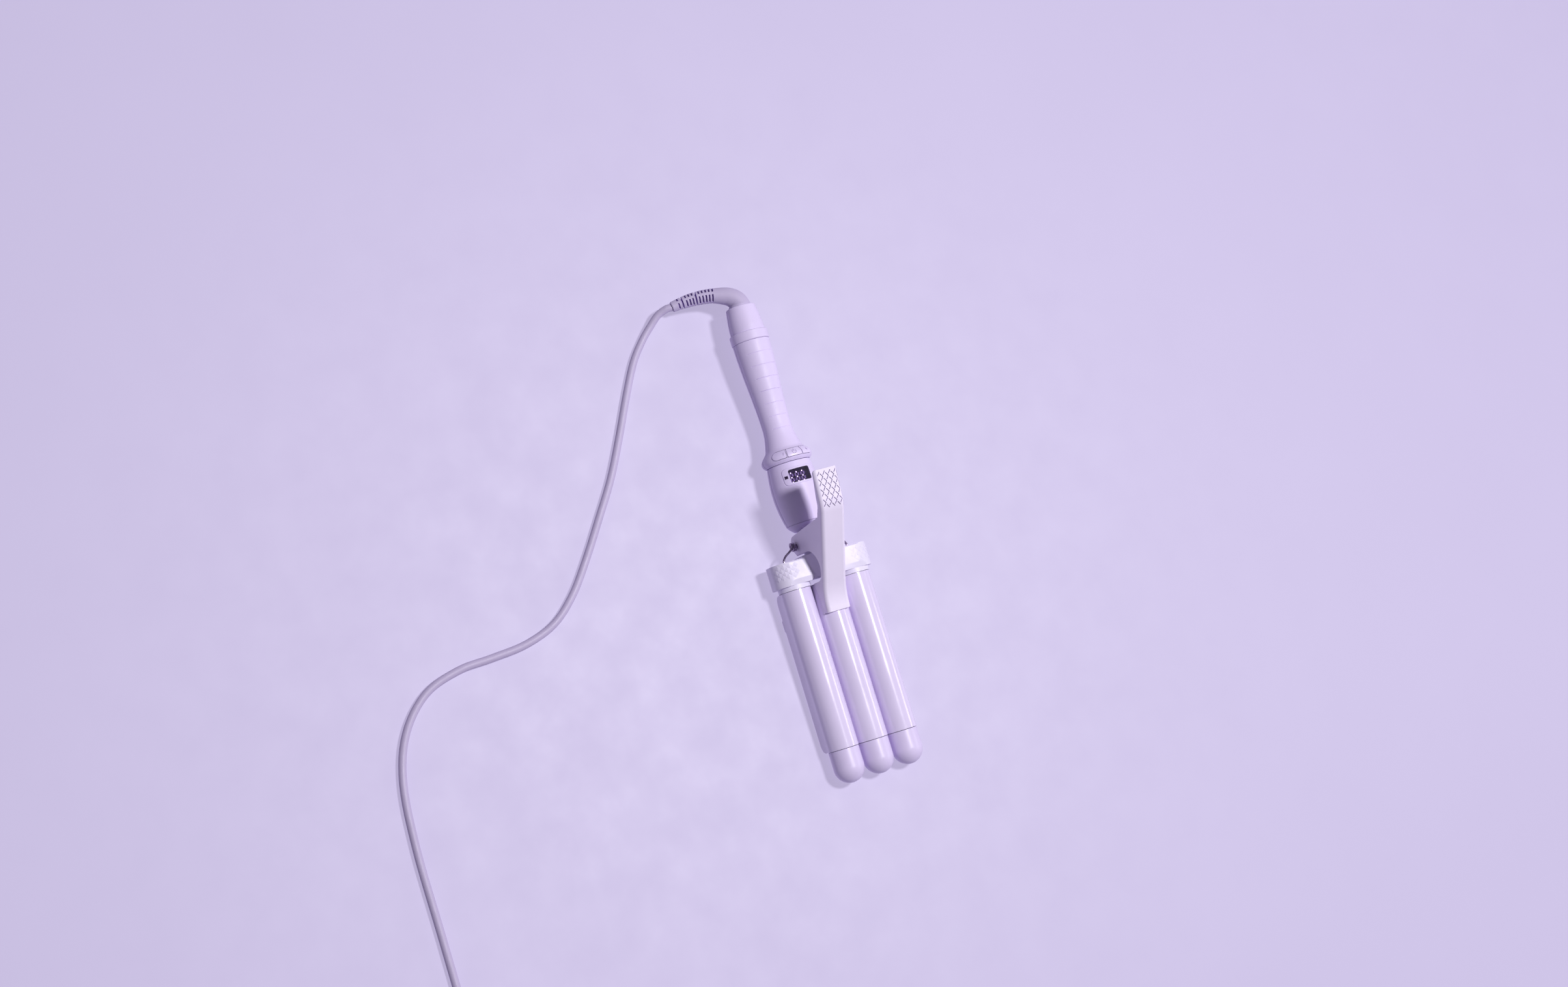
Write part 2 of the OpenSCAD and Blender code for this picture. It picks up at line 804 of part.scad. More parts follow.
module back_profile(inset) {
    from = sleeve_start + inset;
    to = sleeve_end - inset;
    r = back_round - inset;
    translate([from + r, -back_depth + inset]) square([to - from - 2 * r, back_depth + 2 * sleeve_r]);
    translate([from, -back_depth + inset + r]) square([to - from, back_depth + 2 * sleeve_r]);
    for (x = [from + r, to - r]) translate([x, -back_depth + inset + r]) circle(r);
}

module outer_sleeve() {
    translate([0, barrel_pitch, 0]) intersection() {
        cross_slab(sleeve_start, sleeve_end) difference() {
            sleeve_section(sleeve_r, back_depth);
            sleeve_section(sleeve_r - sleeve_wall, back_depth + 1);
        }
        side_slab(3 * sleeve_r) back_profile(0);
    }
}

module sleeve_left() {
    color(sleeve_colour) rest() mirror([0, 1, 0]) outer_sleeve();
}

module sleeve_right() {
    color(sleeve_colour) rest() outer_sleeve();
}

// A plain strip closes the back of an outer sleeve between its sides
back_wall = 1.4;
module back_strip() {
    width = 2 * (sleeve_r - sleeve_wall - fit);
    translate([0, barrel_pitch, 0]) difference() {
        intersection() {
            side_slab(width) difference() {
                back_profile(0);
                back_profile(back_wall);
            }
            translate([sleeve_start, -sleeve_r, -2 * back_depth])
                cube([sleeve_length, 2 * sleeve_r, 2 * back_depth - 5]);
        }
        along(core_r + fit, sleeve_start - 1, sleeve_end + 1);
    }
}

module back_left() {
    color(rear_colour) rest() mirror([0, 1, 0]) back_strip();
}

module back_right() {
    color(rear_colour) rest() back_strip();
}

// Feet are cut level with the table
foot_length = 12;
module foot() {
    intersection() {
        rest() translate([0, barrel_pitch, 0]) side_slab(2 * sleeve_r - 1) polygon([
            [foot_station - foot_length / 2, -back_depth],
            [foot_station - foot_length / 2 + 2, -foot_depth - 1],
            [foot_station + foot_length / 2 - 2, -foot_depth - 1],
            [foot_station + foot_length / 2, -back_depth]
        ]);
        translate([0, 0, collar_reach]) cube([2 * tip_end, 4 * collar_reach, 2 * collar_reach], center = true);
    }
}

module foot_left() {
    color(dark_colour) mirror([0, 1, 0]) foot();
}

module foot_right() {
    color(dark_colour) foot();
}

// Cores and heaters inside the sleeves
core_bore = 9;
heater_width = 14;
heater_height = 10.4;
heater_inset = 21;
heater_start = sleeve_start + heater_inset;
heater_end = sleeve_end - heater_inset;
tip_spigot = 8;
module core(from) {
    difference() {
        along(core_r, from, sleeve_end - seam);
        along(core_bore, from - 1, sleeve_end + 1);
    }
}

module heater() {
    translate([heater_start, -heater_width / 2, -heater_height / 2])
        cube([heater_end - heater_start, heater_width, heater_height]);
}

module outer(side) {
    translate([0, side * barrel_pitch, 0]) children();
}

module core_left() {
    color("silver") rest() outer(-1) core(bore_start + fit);
}

module core_right() {
    color("silver") rest() outer(1) core(bore_start + fit);
}

module heater_left() {
    color("tan") rest() outer(-1) heater();
}

module heater_right() {
    color("tan") rest() outer(1) heater();
}

// Round tips plug into the cores
tip_start = sleeve_end + seam;
module tip() {
    dome = [for (a = [0 : 7.5 : 90]) [tip_r * cos(a), tip_end - tip_r + tip_r * sin(a)]];
    turned(concat(
        [[0, tip_start - tip_spigot], [core_bore - fit, tip_start - tip_spigot], [core_bore - fit, tip_start],
        [tip_r, tip_start]], dome
    ));
}

module tip_left() {
    color(lever_colour) rest() outer(-1) tip();
}

module tip_right() {
    color(lever_colour) rest() outer(1) tip();
}

// Centre barrel, which the lever carries
centre_start = sleeve_start + 1;
module sleeve_centre() {
    color(sleeve_colour) rest() difference() {
        along(sleeve_r, sleeve_start, sleeve_end);
        along(sleeve_r - sleeve_wall, sleeve_start - 1, sleeve_end + 1);
        barrel_screw_holes();
    }
}

module core_centre() {
    color("silver") rest() difference() {
        core(centre_start + fit);
        barrel_screw_holes();
    }
}

// A plug closes the near end of the centre barrel
module plug_centre() {
    color(lever_colour) rest() union() {
        along(core_r, sleeve_start - 0.6, centre_start);
        along(core_bore - fit, centre_start - tiny, centre_start + 3);
    }
}

module heater_centre() {
    color("tan") rest() heater();
}

module tip_centre() {
    color(lever_colour) rest() tip();
}

// Two screws pass through the barrel's wall into the lever's toe, and end inside it
barrel_screw_r = 1.2;
barrel_screw_bite = 1.5;
barrel_screw_head_r = 2.2;
barrel_screw_head = 1.6;
barrel_screw_inset = 5.9636;
barrel_screw_pitch = 8;
toe_screw_stations = [for (k = [0, 1]) centre_start + barrel_screw_inset + k * barrel_screw_pitch];
module barrel_screw_holes() {
    for (x = toe_screw_stations) translate([x, 0, 0])
        cylinder(h = sleeve_r + barrel_screw_bite + seam, r = barrel_screw_r + tiny);
}

module barrel_screws() {
    base = sqrt(pow(core_bore, 2) - pow(barrel_screw_head_r, 2)) - barrel_screw_head - tiny;
    color(metal_colour) rest() for (x = toe_screw_stations) translate([x, 0, base]) {
        cylinder(h = sleeve_r + barrel_screw_bite - base, r = barrel_screw_r);
        cylinder(h = barrel_screw_head, r = barrel_screw_head_r);
    }
}

// The lever's front face runs down the pad, over a bend, down the arm and over the centre barrel
function ray(a) = [cos(a), -sin(a)];
function upright(a) = [sin(a), cos(a)];
foot_slope = 8;
pad_bend_r = 22;
toe_bend_r = 38;
toe_length = 4;
pad_top = [hinge - pad_back, pad_rise];
pad_bottom = pad_top + pad_length * ray(pad_slope);
pad_bend = pad_bottom - pad_bend_r * upright(pad_slope);
arm_top = pad_bend + pad_bend_r * upright(arm_slope);
arm_bottom = arm_top + arm_length * ray(arm_slope);
lever_round = 3;
end_round = 3;
side_wall = 2.4;
pad_depth = 6.5;
arm_depth = 11;
toe_depth = 12;
saddle_lip = 5;

// Channel section of the lever: across, then depth below the front face. Bends are a hair fuller than
// the runs, which reach a little way into them.
lap = 0.3;
fuller = 0.03;
module lever_section(depth, hollow, grow) {
    half = lever_half + grow;
    r = lever_round;
    difference() {
        union() {
            translate([-half, -depth - grow]) square([2 * half, depth + 2 * grow - r]);
            translate([r - half, -r]) square([2 * (half - r), r + grow]);
            for (side = [-1, 1]) translate([side * (half - r), grow - r]) circle(r);
        }
        if (hollow) translate([side_wall + grow - lever_half, -depth - 1])
            square([2 * (lever_half - side_wall - grow), depth + 1 - lever_wall - grow]);
    }
}

// The lever is a chain: each run and bend starts where the last one ends
module straight_run(length, depth, hollow) {
    translate([-lap, 0, 0]) rotate([90, 0, 90]) linear_extrude(length + 2 * lap)
        lever_section(depth, hollow, 0);
}

// A bend away from the front face, about a centre below it
module outward_bend(r, turn, depth, hollow) {
    translate([0, 0, -r]) rotate([0, -90, -90]) rotate_extrude(angle = turn)
        translate([r, 0]) rotate(-90) lever_section(depth, hollow, fuller);
}

// A bend towards the front face, about a centre above it
module inward_bend(r, turn, depth, hollow) {
    translate([0, 0, r]) rotate([90, 0, 0]) rotate([0, 0, -90]) rotate_extrude(angle = turn)
        translate([r, 0]) rotate(90) lever_section(depth, hollow, fuller);
}

module after_run(length) {
    translate([length, 0, 0]) children();
}

module after_outward_bend(r, turn) {
    translate([0, 0, -r]) rotate([0, turn, 0]) translate([0, 0, r]) children();
}

module after_inward_bend(r, turn) {
    translate([0, 0, r]) rotate([0, -turn, 0]) translate([0, 0, -r]) children();
}

module lever_chain() {
    pad_turn = arm_slope - pad_slope;
    toe_turn = arm_slope - foot_slope;
    translate([pad_top[0], 0, pad_top[1]]) rotate([0, pad_slope, 0]) {
        straight_run(side_wall, pad_depth, false);
        straight_run(pad_length, pad_depth, true);
        after_run(pad_length) {
            outward_bend(pad_bend_r, pad_turn, pad_depth, true);
            after_outward_bend(pad_bend_r, pad_turn) {
                straight_run(arm_length, arm_depth, true);
                after_run(arm_length) {
                    inward_bend(toe_bend_r, toe_turn, toe_depth, false);
                    after_inward_bend(toe_bend_r, toe_turn) straight_run(toe_length, toe_depth, false);
                }
            }
        }
    }
}

// Cheeks lean outward from the arm's edges to the ears and are arched over the collars
cheek_wall = 2.2;
cheek_lap = 2.6;
ear_drop = (arm_top - [hinge, 0]) * upright(arm_slope);
cheek_lean = asin((ear_reach - lever_half) / (ear_drop - lever_round));
rear_top = [hinge - 13.3, 50];
rear_bottom = [hinge - ear_r, 0.8];
arch_r = 12.4;
arch_centre = [hinge + 19.7, 13.5];
arch_end = arch_centre[0] + arch_r;
module cheek_outline() {
    translate([hinge, 0]) circle(ear_r);
    polygon([
        rear_bottom + [-1, 0.1], rear_top - [3, 0], arm_top - cheek_lap * upright(arm_slope),
        arm_bottom - cheek_lap * upright(arm_slope), [arch_end + 12, 13], [arch_end + 12, saddle_lip],
        [hinge + 5.6, saddle_lip], [hinge + 5, 0], rear_bottom + [0.5, 0.05]
    ]);
}

module cheek() {
    translate([arm_top[0], lever_half, arm_top[1]]) rotate([0, arm_slope, 0]) translate([0, 0, -lever_round])
        rotate([cheek_lean, 0, 0]) translate([0, 0, lever_round]) rotate([0, -arm_slope, 0])
            translate([-arm_top[0], 0, -arm_top[1]]) rotate([90, 0, 0]) linear_extrude(cheek_wall)
                cheek_outline();
}

module arch() {
    side_slab(4 * ear_reach) union() {
        translate(arch_centre) circle(arch_r);
        translate([arch_centre[0] - arch_r, -sleeve_r]) square([2 * arch_r, sleeve_r + arch_centre[1]]);
    }
}

// Arrow-shaped grooves for the thumb, in staggered rows over the pad and the start of its bend
arrow_rows = 8;
arrow_columns = 4;
arrow_row_pitch = 3.93;
arrow_column_pitch = 4.6;
arrow_first = 1.7;
arrow_arm = 3.1;
arrow_turn = 36;
arrow_width = 0.6;
arrow_depth = 0.45;
arrow_left = -5.3;
module stroke(turn) {
    rotate([0, 0, turn]) translate([arrow_arm / 2, 0, 0])
        cube([arrow_arm + arrow_width / 2, arrow_width, 2 * arrow_depth], center = true);
}

module on_pad(along_pad) {
    if (along_pad < pad_length) translate([along_pad, 0, 0]) children();
    else translate([pad_length, 0, -pad_bend_r])
        rotate([0, (along_pad - pad_length) / pad_bend_r * 180 / PI, 0]) translate([0, 0, pad_bend_r]) children();
}

module thumb_grooves() {
    translate([pad_top[0], 0, pad_top[1]]) rotate([0, pad_slope, 0])
        for (row = [0 : arrow_rows - 1]) on_pad(arrow_first + row * arrow_row_pitch) {
            shift = arrow_left + (row % 2) * arrow_column_pitch / 2;
            last = arrow_columns - 1 - row % 2;
            for (column = [0 : last]) translate([0, shift + column * arrow_column_pitch, 0]) {
                if (row > 0) stroke(180 + arrow_turn);
                if (row < arrow_rows - 1) stroke(-arrow_turn);
            }
            if (row % 2 == 1) edge_groove();
        }
}

// Where a row runs over the pad's rounded edge, its last arrow is a short groove along the edge
module edge_groove() {
    translate([0, lever_half - lever_round, -lever_round]) rotate([-48, 0, 0]) translate([0, 0, lever_round])
        cube([4.8, arrow_width, 2 * arrow_depth], center = true);
}

// Everything behind this line is cut away: the pad thins out towards its end, and the cheeks end in a
// straight edge. The pad's corners are rounded.
pad_lip = 1.6;
pad_middle = 4.2;
pad_root = 9.4;
module lever_trim() {
    end = pad_top[0];
    face = pad_top[1];
    side_slab(4 * ear_reach) polygon([
        [end - end_round, face - pad_lip], [end + 2 * end_round, face - pad_middle],
        [end + pad_length - end_round, face - pad_root], [end + pad_length + end_round, face - arm_depth],
        rear_top, rear_bottom, [end - end_round, rear_bottom[1]]
    ]);
    for (side = [-1, 1]) translate([end + end_round - 1, side * (lever_half - end_round), face - 2 * pad_depth])
        linear_extrude(3 * pad_depth) difference() {
            translate([-end_round - 2, side > 0 ? 0 : -end_round - 1]) square([end_round + 2, end_round + 1]);
            circle(end_round);
        }
}

module lever() {
    color(lever_colour) rest() difference() {
        union() {
            lever_chain();
            for (side = [0, 1]) mirror([0, side, 0]) cheek();
        }
        lever_trim();
        arch();
        translate([hinge, 0, 0]) across(pin_r + fit, 4 * ear_reach);
        along(sleeve_r + tiny, sleeve_start - 2, tip_end);
        translate([arch_end, -2 * lever_half, -sleeve_r])
            cube([arm_length, 4 * lever_half, sleeve_r + saddle_lip]);
        thumb_grooves();
        barrel_screw_holes();
    }
}

// The elbow turns in the cap and carries the slotted strain relief
elbow_bend = 11;
elbow_rise = 3.4;
elbow_foot_r = 9.7;
flange_r = 8;
flange_start = end_wall + 0.3;
flange_end = flange_start + 2.4;
relief_start = elbow_bend + 7;
relief_slots = [0, 1, 2, 3, 4, 7, 8, 9, 12];
relief_rings = [5.5, 10.5];
slot_pitch = 2.35;
slot_width = 1.2;
slot_core = cord_r + 0.9;
function relief_radius(y) = elbow_r + (relief_r - elbow_r) * (y - elbow_bend) / (elbow_reach - elbow_bend);

module slot_ring(y, from, sweep, width) {
    translate([0, y, 0]) rotate([-90, 0, 0]) rotate([0, 0, from]) rotate_extrude(angle = sweep)
        translate([slot_core, -width / 2]) square([elbow_r, width]);
}

module elbow_shape() {
    difference() {
        union() {
            rotate([0, 90, 0]) rotate_extrude() polygon([
                [0, -elbow_rise], [elbow_r, -elbow_rise], [elbow_foot_r, -1.6], [elbow_foot_r, -seam],
                [swivel_r, -seam], [swivel_r, flange_start], [flange_r, flange_start], [flange_r, flange_end],
                [0, flange_end]
            ]);
            translate([-elbow_rise, elbow_bend, 0]) rotate([0, 0, 180]) rotate_extrude(angle = 90)
                intersection() {
                    translate([elbow_bend, 0]) circle(elbow_r);
                    translate([0, -elbow_r]) square(4 * elbow_r);
                }
            translate([-elbow_rise - elbow_bend, 0, 0]) rotate([-90, 0, 0]) rotate_extrude() polygon([
                [0, elbow_bend - tiny], [elbow_r, elbow_bend - tiny], [elbow_r, elbow_bend],
                [relief_r, elbow_reach - 0.6], [relief_r - 0.6, elbow_reach], [0, elbow_reach]
            ]);
        }
        translate([-elbow_rise - elbow_bend, 0, 0]) {
            for (i = relief_slots) {
                slot_ring(relief_start + i * slot_pitch, 20, 140, slot_width);
                slot_ring(relief_start + i * slot_pitch, 200, 140, slot_width);
            }
            for (i = relief_rings) slot_ring(relief_start + i * slot_pitch, 0, 360, 1.5 * slot_width);
        }
    }
}

module cord_elbow() {
    color(shell_colour) rest() mirror([0, 1, 0]) rotate([-elbow_droop, 0, 0]) elbow_shape();
}

// The cord lies on the table: points chosen along its route, in the table's own frame
elbow_tip = [-elbow_rise - elbow_bend, -elbow_reach * cos(elbow_droop), -elbow_reach * sin(elbow_droop)];
function rested(p) = [
    p[0] * cos(rest_tilt) + p[2] * sin(rest_tilt) - middle_x, p[1],
    axis_height - p[0] * sin(rest_tilt) + p[2] * cos(rest_tilt)
];
elbow_heading = [0, -cos(elbow_droop), -sin(elbow_droop)];
cord_start = rested(elbow_tip + 0.05 * elbow_heading);
cord_lead = rested(elbow_tip + 4 * elbow_heading);
cord_lie = cord_r + 0.1;
plug_height = 13.7;
tie_thick = 0.7;
cord_route = [
    [-202, -62, 9], [-195, -70, 5.5], [-186, -79, 3.5], [-171, -91, cord_lie], [-148, -104, cord_lie],
    [-115, -121, cord_lie], [-86, -137, cord_lie], [-59, -155, cord_lie], [-30, -175, cord_lie],
    [-7, -193, cord_lie], [10, -213, cord_lie], [19, -238, cord_lie], [22, -266, cord_lie],
    [24, -292, cord_lie], [34, -320, cord_lie], [58, -342, cord_lie], [92, -354, cord_lie],
    [140, -358, cord_lie], [200, -358, cord_lie], [260, -358, cord_lie + 0.3], [306, -358, cord_lie + tie_thick]
];
coil_centre = [318, -314, 0.1 + tie_thick];
coil_middle_r = 35;
coil_width = 8 * cord_r;
coil_height = 4 * cord_r;

// A smooth curve through a list of points
function curve_point(p, i, t) = let (
    a = p[max(i - 1, 0)], b = p[i], c = p[i + 1], d = p[min(i + 2, len(p) - 1)]
) 0.5 * (2 * b + (c - a) * t + (2 * a - 5 * b + 4 * c - d) * t * t + (3 * b - a - 3 * c + d) * t * t * t);
function curve(p, parts) = concat(
    [for (i = [0 : len(p) - 2], k = [0 : parts - 1]) curve_point(p, i, k / parts)], [p[len(p) - 1]]
);

module cord() {
    color(rear_colour) swept(concat([cord_start], curve(concat([cord_lead], cord_route), 3)), cord_r, 8);
}

// The rest of the cord is wound up as a ring of turns, four side by side in two layers
module cord_coil() {
    color(rear_colour) translate(coil_centre) rotate_extrude() translate([coil_middle_r, coil_height / 2])
        round_rect(coil_width, coil_height, cord_r);
}

// A short tail leaves the upper layer for the plug, which lies flat on the table
tail_start = coil_centre + [coil_middle_r + coil_width / 2 - cord_r, 6, coil_height - cord_r];
tail_length = 60;
plug_lie = plug_height / 2 + 0.1;
tail_end = [tail_start[0], tail_start[1] + tail_length, plug_lie];
module cord_tail() {
    color(rear_colour) swept(concat(curve([
        tail_start, tail_start + [0, 20, 0], tail_end - [0, 20, 0], tail_end - [0, 4, 0]
    ], 4), [tail_end]), cord_r, 8);
}

// Flat two-pin mains plug
plug_width = 35.3;
plug_length = 22;
plug_relief = 14;
plug_pin_r = 2;
plug_pin_length = 19;
plug_pin_spread = 9.3;
module mains_plug() {
    color(rear_colour) translate(tail_end) rotate([-90, 0, 0]) union() {
        rotate_extrude() polygon([[0, 0], [cord_r + 0.8, 0], [cord_r + 2.6, plug_relief], [0, plug_relief]]);
        translate([0, 0, plug_relief]) linear_extrude(plug_length)
            round_rect(plug_width, plug_height, plug_height / 2 - 0.1);
    }
}

module plug_pins() {
    color(metal_colour) translate(tail_end + [0, plug_relief + plug_length, 0]) rotate([-90, 0, 0])
        for (side = [-1, 1]) translate([side * plug_pin_spread, 0, 0]) union() {
            cylinder(h = plug_pin_length - plug_pin_r, r = plug_pin_r);
            translate([0, 0, plug_pin_length - plug_pin_r]) sphere(plug_pin_r);
        }
}

handle_front_shell();
handle_rear_shell();
handle_band();
shell_screws();
head_front_cover();
head_rear_cover();
display_bezel();
display_window();
lcd_panel();
display_digits();
display_holder();
indicator_lens();
control_board();
switch_carrier();
nose_ring();
neck();
yoke();
hinge_pin();
spring_left();
spring_right();
collar_left();
collar_right();
sleeve_left();
sleeve_right();
core_left();
core_right();
heater_left();
heater_right();
tip_left();
tip_right();
back_left();
back_right();
foot_left();
foot_right();
lever();
sleeve_centre();
core_centre();
plug_centre();
heater_centre();
tip_centre();
barrel_screws();
button_minus();
button_power();
button_plus();
cord_elbow();
cord();
cord_coil();
cord_tail();
mains_plug();
plug_pins();
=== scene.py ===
import json
import math

import bmesh
import bpy
from mathutils import Matrix, Vector


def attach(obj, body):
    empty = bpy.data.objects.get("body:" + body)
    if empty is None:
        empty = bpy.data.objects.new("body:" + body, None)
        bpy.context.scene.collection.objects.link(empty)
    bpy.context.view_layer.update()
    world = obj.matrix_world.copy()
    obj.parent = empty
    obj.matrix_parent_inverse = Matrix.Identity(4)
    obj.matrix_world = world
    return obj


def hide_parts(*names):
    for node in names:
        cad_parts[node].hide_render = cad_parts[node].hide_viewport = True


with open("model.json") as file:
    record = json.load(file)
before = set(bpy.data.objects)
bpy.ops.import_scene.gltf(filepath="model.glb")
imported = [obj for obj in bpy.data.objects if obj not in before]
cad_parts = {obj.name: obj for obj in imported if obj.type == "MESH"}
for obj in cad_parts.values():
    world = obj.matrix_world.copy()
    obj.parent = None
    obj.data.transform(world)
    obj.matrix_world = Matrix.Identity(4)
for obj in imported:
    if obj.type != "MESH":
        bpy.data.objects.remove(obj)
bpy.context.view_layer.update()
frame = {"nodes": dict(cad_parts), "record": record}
nodes = frame["nodes"]


# ---------------------------------------------------------------- camera

CAMERA_PLACE = Vector((0.1664, -0.6278, 1.5641))
LOOKING = Vector((-0.1223, 0.3683, -0.9216)).normalized()
PICTURE_RIGHT = Vector((0.3019, 0.8984, 0.3189))
FIELD_LENS = 49.34


def set_camera():
    """The camera, upright to its own right-hand side."""
    right = (PICTURE_RIGHT - PICTURE_RIGHT.dot(LOOKING) * LOOKING).normalized()
    up = right.cross(LOOKING)
    camera = bpy.data.objects.new("camera", bpy.data.cameras.new("camera"))
    bpy.context.scene.collection.objects.link(camera)
    turn = Matrix((right, up, -LOOKING)).transposed().to_4x4()
    camera.matrix_world = Matrix.Translation(CAMERA_PLACE) @ turn
    camera.data.lens = FIELD_LENS
    camera.data.sensor_width = 36
    camera.data.sensor_fit = "HORIZONTAL"
    camera.data.clip_start = 0.01
    bpy.context.scene.camera = camera


set_camera()


# ---------------------------------------------------------------- finishes


class Finish:
    """A material's nodes, added one after another."""

    def __init__(self, name, **sockets):
        self.material = bpy.data.materials.new(name)
        self.material.use_nodes = True
        self.tree = self.material.node_tree
        self.shader = self.tree.nodes["Principled BSDF"]
        for socket, value in sockets.items():
            self.shader.inputs[socket.replace("_", " ")].default_value = value
        self.place = self.tree.nodes.new("ShaderNodeTexCoord").outputs["Object"]

    def add(self, kind, settings=(), **inputs):
        node = self.tree.nodes.new(kind)
        for name, value in dict(settings).items():
            setattr(node, name, value)
        for name, value in inputs.items():
            socket = node.inputs[name.replace("_", " ")]
            if hasattr(value, "is_output"):
                self.tree.links.new(value, socket)
            else:
                socket.default_value = value
        return node

    def link(self, output, socket):
        self.tree.links.new(output, self.shader.inputs[socket])

    def noise(self, scale, detail=3.0, roughness=0.55):
        """A noise over the piece's own coordinates, scale in spots per metre."""
        node = self.add("ShaderNodeTexNoise", Vector=self.place, Scale=scale, Detail=detail,
                        Roughness=roughness)
        return node.outputs["Fac"]

    def between(self, value, low, high, start=0.3, end=0.7):
        """The value spread out from low to high."""
        node = self.add("ShaderNodeMapRange", Value=value, From_Min=start, From_Max=end,
                        To_Min=low, To_Max=high)
        return node.outputs["Result"]

    def tint(self, value, first, second):
        """The two colours mixed by the value."""
        mix = self.add("ShaderNodeMix", {"data_type": "RGBA"})
        self.tree.links.new(value, mix.inputs["Factor"])
        mix.inputs[6].default_value = (*first, 1)
        mix.inputs[7].default_value = (*second, 1)
        return mix.outputs[2]

    def clouds(self, noise, first, second):
        """Clouds from the one colour to the other. Gives back the mixed colour."""
        colour = self.tint(self.between(noise, 0, 1), first, second)
        self.link(colour, "Base Color")
        return colour

    def gloss(self, noise, low, high):
        """Roughness that wanders between low and high."""
        self.link(self.between(noise, low, high), "Roughness")

    def relief(self, noise, strength, distance):
        """A fine bump, so deep in metres."""
        node = self.add("ShaderNodeBump", Height=noise, Strength=strength, Distance=distance)
        self.link(node.outputs["Normal"], "Normal")


def screen(red, green, blue):
    """A colour as a screen shows it, 0 to 255, in the values that a shader takes."""
    def linear(level):
        share = level / 255
        return share / 12.92 if level <= 10 else ((share + 0.055) / 1.055) ** 2.4

    return tuple(linear(level) for level in (red, green, blue))


def shade(colour, share):
    """The colour made lighter or darker by a share."""
    return tuple(min(1.0, level * share) for level in colour)


def moulded(name, colour, rough, grain=0.25, cloud=0.03, **sockets):
    """Moulded plastic: a fine spark-eroded grain, faint clouds of colour, and a little unevenness
    in its gloss."""
    f = Finish(name, **sockets)
    f.clouds(f.noise(scale=28, detail=4), shade(colour, 1 - cloud), shade(colour, 1 + cloud))
    f.gloss(f.noise(scale=140, detail=3), low=rough - 0.04, high=rough + 0.05)
    f.relief(f.noise(scale=2600, detail=2), strength=grain, distance=0.00004)
    return f.material


def glazed(name, colour, rough):
    """Ceramic coating: a smooth glossy glaze over a faint orange-peel."""
    f = Finish(name, Coat_Weight=0.6, Coat_Roughness=0.06, IOR=1.55)
    f.clouds(f.noise(scale=22, detail=3), shade(colour, 0.98), shade(colour, 1.02))
    f.gloss(f.noise(scale=60, detail=3), low=rough - 0.03, high=rough + 0.04)
    f.relief(f.noise(scale=420, detail=1), strength=0.06, distance=0.0001)
    return f.material


def brushed(name, colour, rough, scratch=0.3):
    """Metal with fine scratches."""
    f = Finish(name, Metallic=1.0)
    f.clouds(f.noise(scale=300, detail=4), shade(colour, 0.85), shade(colour, 1.12))
    f.gloss(f.noise(scale=900, detail=4), low=rough - 0.08, high=rough + 0.1)
    f.relief(f.noise(scale=3000, detail=2), strength=scratch, distance=0.00003)
    return f.material


LILAC = screen(224, 211, 245)
# The lever's lilac is lighter than the handle's: partly the lever's own paler plastic, partly
# painted light that lifts its shaded cheeks.
LILAC_LEVER_PALER_AND_LIT = screen(240, 230, 253)
LILAC_GLAZE = screen(228, 216, 247)
LILAC_WHITE = screen(233, 226, 248)

soft_touch = moulded("soft_touch_lilac", LILAC, 0.44, IOR=1.32)
# Painted shade: the rear covers and the flat side walls are a darker copy of the handle's lilac, as
# they turn away from the light.
shaded_rear_touch = moulded("soft_touch_lilac_rear_painted_shade", shade(LILAC, 0.93), 0.48, IOR=1.3)
lever_touch = moulded("lever_lilac", LILAC_LEVER_PALER_AND_LIT, 0.42, IOR=1.42)
tip_plastic = moulded("tip_lilac", LILAC, 0.33, grain=0.12)
collar_plastic = moulded("collar_satin", LILAC_WHITE, 0.45, grain=0.1)
button_plastic = moulded("button_lilac", shade(LILAC, 1.04), 0.4)
sleeve_glaze = glazed("ceramic_glaze", LILAC_GLAZE, 0.17)
spring_steel = brushed("blackened_spring_steel", screen(158, 144, 168), 0.26)
screw_steel = brushed("screw_steel", screen(150, 148, 152), 0.33)
chrome = brushed("nickel_pins", screen(205, 204, 200), 0.18, scratch=0.1)
aluminium = brushed("aluminium", screen(190, 191, 194), 0.35)
heater_mica = moulded("heater_ceramic", screen(214, 200, 170), 0.7, grain=0.5)
board_lacquer = moulded("board_lacquer", screen(40, 92, 62), 0.35, IOR=1.5)
inner_white = moulded("inner_white", screen(226, 226, 224), 0.5)
foot_rubber = moulded("foot_rubber", screen(58, 54, 62), 0.7, grain=0.5)
cord_rubber = moulded("cord_lilac", screen(196, 184, 216), 0.5, grain=0.3)
panel_dark = moulded("panel_dark", screen(70, 46, 106), 0.5, IOR=1.3)
mark_grey = moulded("mark_lilac_grey", screen(160, 142, 186), 0.5)
# Painted shade: a darker lilac laid in the floors and walls of the lever's thumb grooves, where
# shade falls.
groove_painted_shade = moulded("groove_painted_shade", screen(132, 114, 162), 0.6)
# Painted shade: a darker lilac laid on the floors of the elbow's slots and grooves and the walls
# down to them.
slot_painted_shade = moulded("slot_painted_shade", screen(172, 150, 206), 0.6)
indicator_dark = moulded("indicator_dark", screen(52, 38, 66), 0.25)


def window_glass():
    """The tinted display window: clear, dark plastic with a high gloss."""
    f = Finish("display_window", Transmission_Weight=0.92, IOR=1.46)
    f.clouds(f.noise(scale=40, detail=2), screen(150, 136, 168), screen(162, 148, 180))
    f.gloss(f.noise(scale=80, detail=3), low=0.02, high=0.06)
    f.relief(f.noise(scale=300, detail=1), strength=0.02, distance=0.0001)
    return f.material


